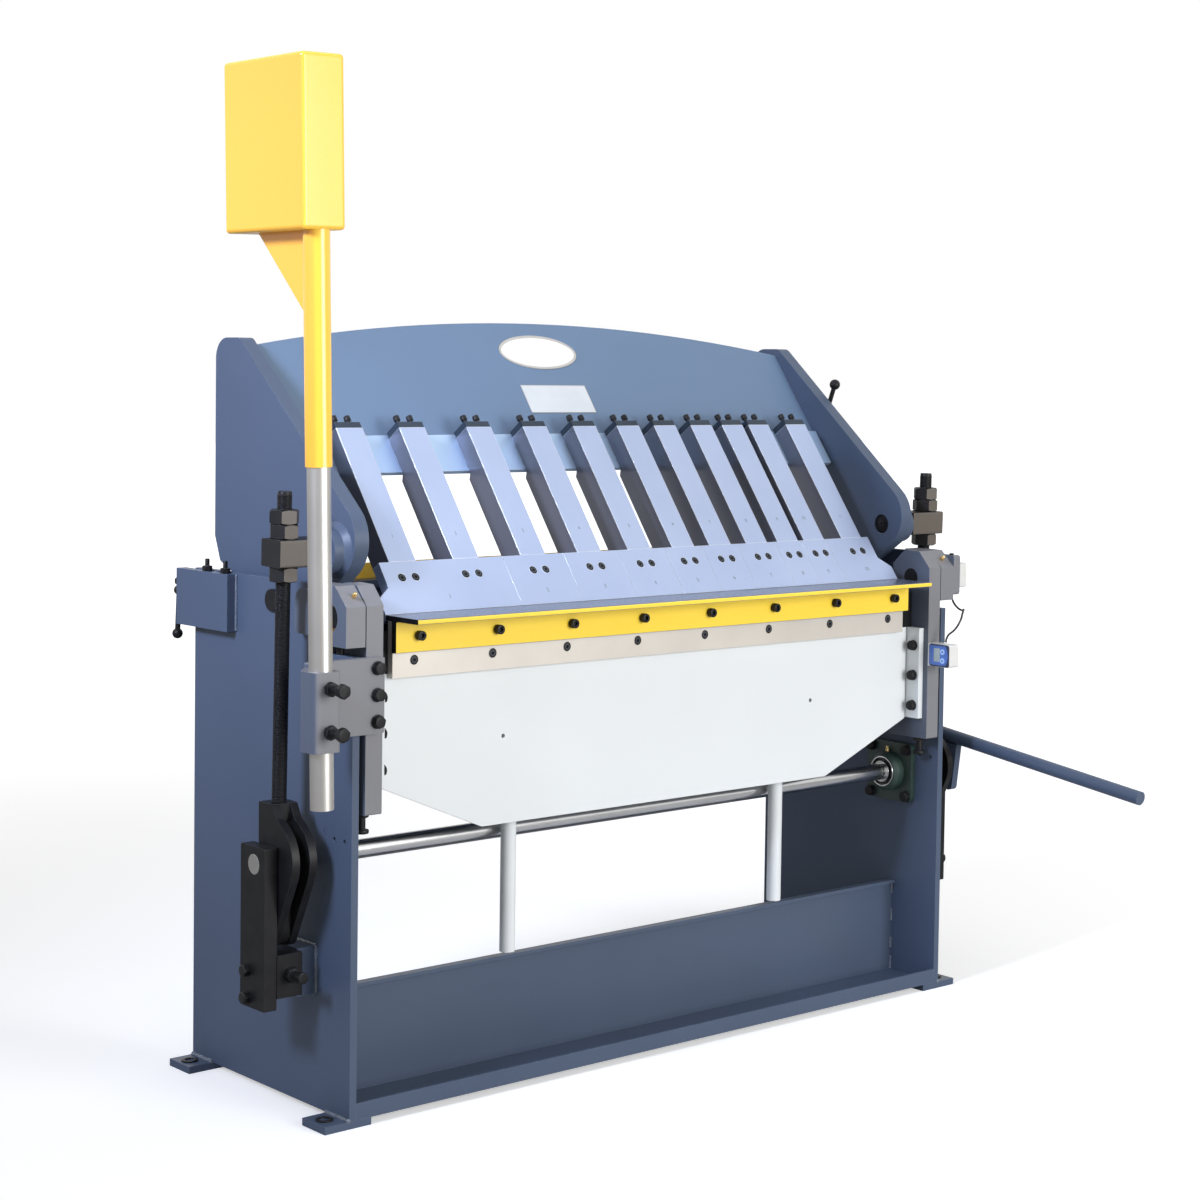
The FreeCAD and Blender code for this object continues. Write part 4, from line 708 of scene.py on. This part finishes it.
# %% Hexagon bolt and nut
def hexagon(across, height, both_ends=False):
    """A hexagon head, or a nut when both ends are turned off, standing on Z = 0."""
    bpy.ops.mesh.primitive_cylinder_add(
        vertices=6, radius=across / math.sqrt(3), depth=height, location=(0, 0, height / 2))
    head = bpy.context.object
    settle(head)
    narrow = across * 0.47
    wide = narrow + height * math.sqrt(3)
    cones = [(wide, narrow), (narrow, wide)] if both_ends else [(wide, narrow)]
    for low, high in cones:
        bpy.ops.mesh.primitive_cone_add(
            vertices=64, radius1=low, radius2=high, depth=height, location=(0, 0, height / 2))
        carve(head, bpy.context.object, "INTERSECT")
    ease(head, across * 0.012, segments=1, angle=25)
    return head


def bolt(across, height):
    """A hexagon head on its washer."""
    head = hexagon(across, height * 0.88)
    head.data.transform(Matrix.Translation((0, 0, height * 0.12)))
    ring = drum(across * 0.62, height * 0.13)
    ease(ring, across * 0.015)
    return weld_together("bolt", [head, ring])


# %% Bolts of the frame
BEARING_BOLT = 50
BEARING_BOLTS = [(side, a, SHAFT_Y + a * BEARING_BOLT, SHAFT_Z + b * BEARING_BOLT)
                 for side in SIDES for a in (-1, 1) for b in (-1, 1)]
LOCK_X = -770.5
# The flange bolts of the shaft bearings, and the bolts of the outboard bars.
frame_pieces = copies(bolt(0.020, 0.012), [
    stand(side * 733.3, y, z, (-side, 0, 0), 20 * a) for side, a, y, z in BEARING_BOLTS])
frame_pieces += copies(hexagon(0.019, 0.012), [
    stand(side * 876.5, 144, z, (side, 0, 0), z) for side in SIDES for z in (219, 267)])
# The stop screws below the links, with their lock nuts, and the jacks of the hinge blocks.
for part, y, turn in ((hexagon(0.019, 0.013), 61, 15),
                      (hexagon(0.024, 0.012, both_ends=True), 88, 40),
                      (drum(0.008, 0.112), 164, 0)):
    frame_pieces += copies(part, [
        stand(side * LINK_X, y, 262.5, FRONT, turn) for side in SIDES])
frame_pieces += copies(drum(0.0065, 0.017), [upright(side * 753.4, 49, 815) for side in SIDES])
# The studs and nuts of the rear lock block, and a screw in the right hinge block.
lock_studs = [upright(LOCK_X, y, 930) for y in (394.6, 457)]
frame_pieces += copies(hexagon(0.016, 0.010, both_ends=True),
                       [*lock_studs, stand(LOCK_X, 550, 904, BACK)])
stud = drum(0.0042, 0.043, base=-0.020, sides=24)
ease(stud, 0.0009)
frame_pieces += copies(stud, lock_studs)
block_screw = drum(0.0048, 0.004, sides=32)
ease(block_screw, 0.0008)
frame_pieces += copies(block_screw, [upright(785, 7, 926)])
frame_hardware = weld_together("frame_bolt_heads", frame_pieces)
finish_piece(frame_hardware, black, "frame", ["frame_bolts"])
fit("bearing_bolt_ends", drum(0.0078, 0.027),
    [stand(side * 733, y, z, (side, 0, 0)) for side, a, y, z in BEARING_BOLTS],
    slate, "frame")
print("frame bolt faces", len(frame_hardware.data.polygons))

# %% Bolts of the leaf
# The bolts of the apron's lugs and of the pole bracket.
leaf_pieces = copies(bolt(0.018, 0.011), [
    stand(side * 688, 23.5, z, (-side, 0, 0), z) for side in SIDES for z in (738.2, 675, 611)])
leaf_pieces += copies(bolt(0.020, 0.012), [
    stand(-724, -20, z, FRONT, z) for z in (705, 751, 797)])
# The jacks below the arms, and the clamp screws of the pole socket.
foot_knob = drum(0.013, 0.007, base=0.030)
ease(foot_knob, 0.0015)
for part in (hexagon(0.022, 0.009, both_ends=True), drum(0.007, 0.024, base=0.008), foot_knob):
    leaf_pieces += copies(part, [stand(side * 719.5, 30, 541, DOWN, 10) for side in SIDES])
for part, y in ((drum(0.007, 0.044), -89),
                (hexagon(0.022, 0.010, both_ends=True), -93),
                (hexagon(0.022, 0.012), -125)):
    leaf_pieces += copies(part, [stand(-871, y, z, FRONT, z) for z in (708.8, 780.5)])
leaf_hardware = weld_together("leaf_bolt_heads", leaf_pieces)
finish_piece(leaf_hardware, black, "folding_leaf", ["leaf_bolts"])
print("leaf bolt faces", len(leaf_hardware.data.polygons))

# %% [markdown]
# ### Washers and bearing seals
#
# A flat washer lies round the anchor hole of each foot. Each shaft bearing shows a bright
# outer ring, a black rubber seal and the bright inner ring that grips the shaft. All of
# them are flat rings: a drum with a smaller drum cut out of it, and its edges eased.


# %% Flat rings
def flat_ring(outer, inner, height, sides=64):
    """A ring of rectangular section with eased edges."""
    made = drum(outer, height, sides=sides)
    carve(made, drum(inner, height * 3, base=-height, sides=sides))
    ease(made, height * 0.2)
    return made


def round_shaft(x):
    """The places round the cross shaft, x millimetres out, that look inwards."""
    return [stand(side * x, SHAFT_Y, SHAFT_Z, (-side, 0, 0)) for side in SIDES]


rings = [
    fit("anchor_washers", flat_ring(0.0155, 0.0092, 0.0025),
        [upright(side * 788.5, y, 13.3) for side in SIDES for y in (35, 480)],
        black, "frame"),
    fit("bearing_seals", flat_ring(0.0285, 0.0228, 0.0012), round_shaft(716.3),
        sheath, "frame"),
    fit("bearing_outer_rings", flat_ring(0.0325, 0.0300, 0.0035), round_shaft(712.0),
        shaft_steel, "frame"),
]
print("ring faces", [len(ring.data.polygons) for ring in rings])

# %% [markdown]
# ### Weld beads
#
# The plates are welded, and painted over. A welder lays a bead drop by drop, so a bead is
# built the same way: one flattened drop is copied along the seam, each overlapping the
# last, and a Remesh modifier melts them into one skin.


# %% Weld beads
def bead(start, end, width):
    """One weld bead between two points, width metres wide."""
    seam = end - start
    bpy.ops.mesh.primitive_uv_sphere_add(segments=16, ring_count=8, radius=width / 2)
    drop = bpy.context.object
    bpy.ops.object.mode_set(mode="EDIT")
    bpy.ops.mesh.select_all(action="SELECT")
    bpy.ops.transform.resize(value=(1, 1, 0.62))
    bpy.ops.object.mode_set(mode="OBJECT")
    count = max(2, round(seam.length / (width * 0.42)))
    lie = facing(seam)
    drops = copies(drop, [
        Matrix.Translation(start + seam * (k / (count - 1))) @ lie
        @ Matrix.Diagonal((1 + 0.12 * math.sin(5 * k), 1 + 0.12 * math.cos(3 * k), 1, 1))
        for k in range(count)])
    made = weld_together("bead", drops)
    melt = made.modifiers.new("melt", "REMESH")
    melt.mode = "VOXEL"
    melt.voxel_size = width / 7
    melt.use_smooth_shade = True
    apply_all(made)
    return made


INSIDE, OUTSIDE = 745.5, 761.5  # just off the faces of the side plates
beads = []
for side in SIDES:
    inside, outside = side * INSIDE, side * OUTSIDE
    # Stitches down the base channel, one bead along each foot, three round a support block.
    for low, high in ((22, 46), (66, 88), (126, 150), (186, 206)):
        beads.append(bead(at(inside, 124, low), at(inside, 124, high), 0.0055))
    for y in (2, 447):
        beads.append(bead(at(side * 761, y, 14), at(side * 761, y + 66, 14), 0.010))
    beads.append(bead(at(outside, 104, 218), at(outside, 104, 298), 0.008))
    beads.append(bead(at(outside, 106, 300.5), at(outside, 172, 300.5), 0.008))
    beads.append(bead(at(outside, 106, 214.5), at(outside, 172, 214.5), 0.006))
# One more before the rear lock block.
beads.append(bead(at(-OUTSIDE, 371, 828), at(-OUTSIDE, 371, 928), 0.006))
weld_paint = shade("painted_weld", (0.105, 0.130, 0.170), (0.140, 0.165, 0.205), 0.34,
                   patch=60.0, grain=500, bump=0.25, spread=0.08, edge=0.0003, shine=0.5)
welds = finish_piece(weld_together("weld_beads", beads), weld_paint, "frame")
print("weld faces", len(welds.data.polygons))

# %% [markdown]
# ### Threaded link rods
#
# Each link is a long threaded rod. A thread is one ridge wound round a core, so a small
# three-sided outline stands beside the axis, and a Screw modifier winds it up the rod,
# three millimetres a turn.

# %% Link rods and nuts
THREAD_RADIUS = 0.0125
THREAD_START, THREAD_PITCH, THREAD_TURNS = -0.4575, 0.003, 186
LINK_LEAN = math.atan2(TRUNNION_Z - CRANK_Z, TRUNNION_Y - CRANK_Y) - math.pi / 2
NUTS = ((-0.050, 30), (0.024, 30), (0.0495, 18))
for side, word in zip(SIDES, ("right", "left")):
    link_axis = upright(side * LINK_X, TRUNNION_Y, TRUNNION_Z) @ Matrix.Rotation(
        LINK_LEAN, 4, "X")
    core = drum(0.0122, 0.564, base=-0.458, sides=32)
    ease(core, 0.0008)
    bpy.ops.mesh.primitive_circle_add(
        vertices=3, radius=0.00165, location=(0.01255, 0, THREAD_START),
        rotation=(math.pi / 2, 0, 0))
    ridge = bpy.context.object
    settle(ridge)
    bpy.ops.object.mode_set(mode="EDIT")
    bpy.ops.mesh.select_all(action="SELECT")
    bpy.ops.transform.resize(value=(0.55, 1, 0.9),
                             center_override=(THREAD_RADIUS, 0, THREAD_START))
    bpy.ops.object.mode_set(mode="OBJECT")
    wind = ridge.modifiers.new("wind", "SCREW")
    wind.axis = "Z"
    wind.angle = 2 * math.pi
    wind.screw_offset = THREAD_PITCH
    wind.iterations = THREAD_TURNS
    wind.steps = 20
    wind.render_steps = 20
    wind.use_merge_vertices = True
    apply_all(ridge)
    bpy.ops.object.mode_set(mode="EDIT")
    bpy.ops.mesh.select_all(action="SELECT")
    bpy.ops.mesh.normals_make_consistent(inside=False)
    bpy.ops.object.mode_set(mode="OBJECT")
    threaded = weld_together(word + "_threaded_rod", [core, ridge])
    threaded.matrix_world = link_axis
    finish_piece(threaded, black, word + "_link", [word + "_link_rod"])
    fit(word + "_hexagon_nuts", hexagon(0.047, 0.0255, both_ends=True), [
        link_axis @ Matrix.Translation((0, 0, low)) @ Matrix.Rotation(math.radians(turn), 4, "Z")
        for low, turn in NUTS], scale_and_sheen, word + "_link", [word + "_link_nuts"])
print("thread faces", len(threaded.data.polygons))

# %% [markdown]
# ### Numbers on the fingers
#
# The shoes and the bars carry small stamped numbers, so that a set can be put back in
# order. A stamp is a shallow dark figure. It is typed as text, made a mesh, and laid on
# the face.


# %% Numbers
def figure(number, height, place):
    """A number as a thin raised figure on a face."""
    bpy.ops.object.text_add()
    typed = bpy.context.object
    typed.data.body = str(number)
    typed.data.size = height
    typed.data.align_x = "CENTER"
    typed.data.align_y = "CENTER"
    typed.data.extrude = 0.00006
    bpy.ops.object.convert(target="MESH")
    typed = bpy.context.object
    typed.matrix_world = place
    settle(typed)
    return typed


SHOE_EDGES = (-660, -353.6, -207.2, -72.2, 49.8, 151, 247.2, 356.4, 430.2, 506.2, 660)
LIFT = 0.0001
stamps = [
    figure(k + 1, 0.0125, on_fingers((low + high) / 2000, 0.0285, LIFT))
    for k, (low, high) in enumerate(zip(SHOE_EDGES, SHOE_EDGES[1:]))
]
stamps += [
    figure(k + 1, 0.011, on_fingers(x / 1000, 0.159, LIFT)) for k, x in enumerate(BAR_CENTRES)
]
stamp_ink = shade("stamped_figures", (0.16, 0.19, 0.25), (0.20, 0.23, 0.29), 0.6,
                  patch=40.0, grain=900, edge=0.0001)
numbers = weld_together("finger_numbers", stamps)
finish_piece(numbers, stamp_ink, "clamp_beam")
print("numbers", len(stamps))

# %% [markdown]
# ### Two plain plates
#
# The arched plate carries an oval plate and a small oblong one. Both are left blank here:
# a brushed sheet with a raised rim, held on by its own adhesive.

# %% Plates
PLATE_THICK = 0.0016


def plate(name, width, height, oval, rim, place, face, edge_finish):
    """A thin sheet, oval or oblong, whose face lies a little below its rim."""
    if oval:
        bpy.ops.mesh.primitive_cylinder_add(vertices=96, radius=0.5, depth=PLATE_THICK)
    else:
        bpy.ops.mesh.primitive_cube_add(size=1)
    sheet = bpy.context.object
    sheet.scale = (width, height, 1 if oval else PLATE_THICK)
    settle(sheet)
    bpy.ops.object.mode_set(mode="EDIT")
    bpy.ops.mesh.select_mode(type="FACE")
    bpy.ops.mesh.select_all(action="DESELECT")
    bpy.ops.object.mode_set(mode="OBJECT")
    for side in sheet.data.polygons:
        side.select = side.normal.z > 0.9
    bpy.ops.object.mode_set(mode="EDIT")
    bpy.ops.mesh.inset(thickness=rim)
    bpy.ops.transform.translate(value=(0, 0, -0.0006))
    bpy.ops.object.mode_set(mode="OBJECT")
    middle = [side.index for side in sheet.data.polygons if side.select]
    sheet.matrix_world = place
    settle(sheet)
    sheet.name = name
    sheet.data.materials.append(edge_finish)
    sheet.data.materials.append(face)
    for index in middle:
        sheet.data.polygons[index].material_index = 1
    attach(sheet, "clamp_beam")


plate_face = shade("plate_face", (0.62, 0.66, 0.70), (0.68, 0.72, 0.76), 0.42, metallic=0.5,
                   patch=14.0, grain=600, bump=0.03, spread=0.08, edge=0.0002,
                   stretch=(1, 20, 20))
plate_white = shade("plate_enamel", (0.80, 0.80, 0.78), (0.83, 0.83, 0.81), 0.35,
                    patch=14.0, grain=600, bump=0.02, edge=0.0002)
arch_face = on_fingers(0, 0, -0.0492)
OVAL_UP, OBLONG_UP = 0.6106, 0.4945
plate("oval_plate", 0.200, 0.084, True, 0.006,
      arch_face @ Matrix.Translation((0, OVAL_UP, 0)), plate_white, bright)
plate("oblong_plate", 0.168, 0.067, False, 0.0015,
      arch_face @ Matrix.Translation((0, OBLONG_UP, 0)), plate_face, bright)
print("plates at", [round(v, 3) for v in (arch_face @ Vector((0, OVAL_UP, 0)))])

# %% [markdown]
# ### Face of the angle display
#
# The display's face looks to the left. A dark bezel frames a blue foil, with an upright
# grey window for the digits beside two round buttons, and the cable enters through a small
# gland on top. The window is left blank. Each layer is an extruded outline, a little
# proud of the one under it, as a printed foil on a moulded case is.


# %% Display face
def slab(name, width, height, thick, corner, place, finish):
    """A thin plate with round corners, standing on Z = 0 of its place."""
    bpy.ops.mesh.primitive_cube_add(size=1, location=(0, 0, thick / 2))
    made = bpy.context.object
    made.scale = (width, height, thick)
    settle(made)
    bpy.ops.object.mode_set(mode="EDIT")
    bpy.ops.mesh.select_mode(type="EDGE")
    bpy.ops.mesh.select_all(action="DESELECT")
    bpy.ops.object.mode_set(mode="OBJECT")
    for edge in made.data.edges:
        low, high = (made.data.vertices[v].co for v in edge.vertices)
        edge.select = abs(low.z - high.z) > thick / 2
    bpy.ops.object.mode_set(mode="EDIT")
    bpy.ops.mesh.bevel(offset=corner, segments=6)
    bpy.ops.object.mode_set(mode="OBJECT")
    ease(made, thick * 0.25, segments=2, angle=60)
    made.matrix_world = place
    return finish_piece(weld_together(name, [made]), finish, "folding_leaf")


display_face = upright(702, -36, 721) @ Matrix(((0, 0, -1), (-1, 0, 0), (0, 1, 0))).to_4x4()
slab("display_bezel", 0.0550, 0.0470, 0.0005, 0.006, display_face, navy)
foil = slab("display_foil", 0.0510, 0.0410, 0.0008, 0.003,
            display_face @ Matrix.Translation((-0.0015, 0, 0)), panel_blue)
round_side = drum(0.032, 0.010, base=-0.005, sides=96)
round_side.matrix_world = display_face @ Matrix.Translation((-0.0080, 0, 0))
settle(round_side)
carve(foil, round_side, "INTERSECT")
lcd_grey = shade("lcd_window", (0.30, 0.36, 0.36), (0.34, 0.40, 0.40), 0.22,
                 patch=60.0, grain=2500, bump=0.01, edge=0.0002)
slab("display_window", 0.0166, 0.0280, 0.0010, 0.001,
     display_face @ Matrix.Translation((-0.0057, 0.001, 0)), lcd_grey)
for number, button, z in ((1, "first_button", 729.4), (2, "second_button", 710.6)):
    middle = stand(700.4, -45.5, z, (-1, 0, 0))
    hole = drum(0.0049, 0.006, base=-0.003)
    hole.matrix_world = middle
    settle(hole)
    carve(foil, hole)
    ring = drum(0.0060, 0.0009, base=-0.0012, sides=48)
    carve(ring, drum(0.0048, 0.006, base=-0.003))
    ring.matrix_world = middle
    finish_piece(weld_together("button_%d_rim" % number, [ring]), button_blue,
                 "folding_leaf")
    dot = drum(0.0019, 0.0003, sides=32)
    dot.matrix_world = middle
    finish_piece(weld_together("button_%d_mark" % number, [dot]), navy, button)
gland = drum(0.0045, 0.0034, sides=32)
ease(gland, 0.0008)
gland.matrix_world = upright(720, -38, 745)
finish_piece(weld_together("cable_gland", [gland]), case_white, "folding_leaf")
print("display foil faces", len(foil.data.polygons))

# %% The end
bpy.context.view_layer.update()
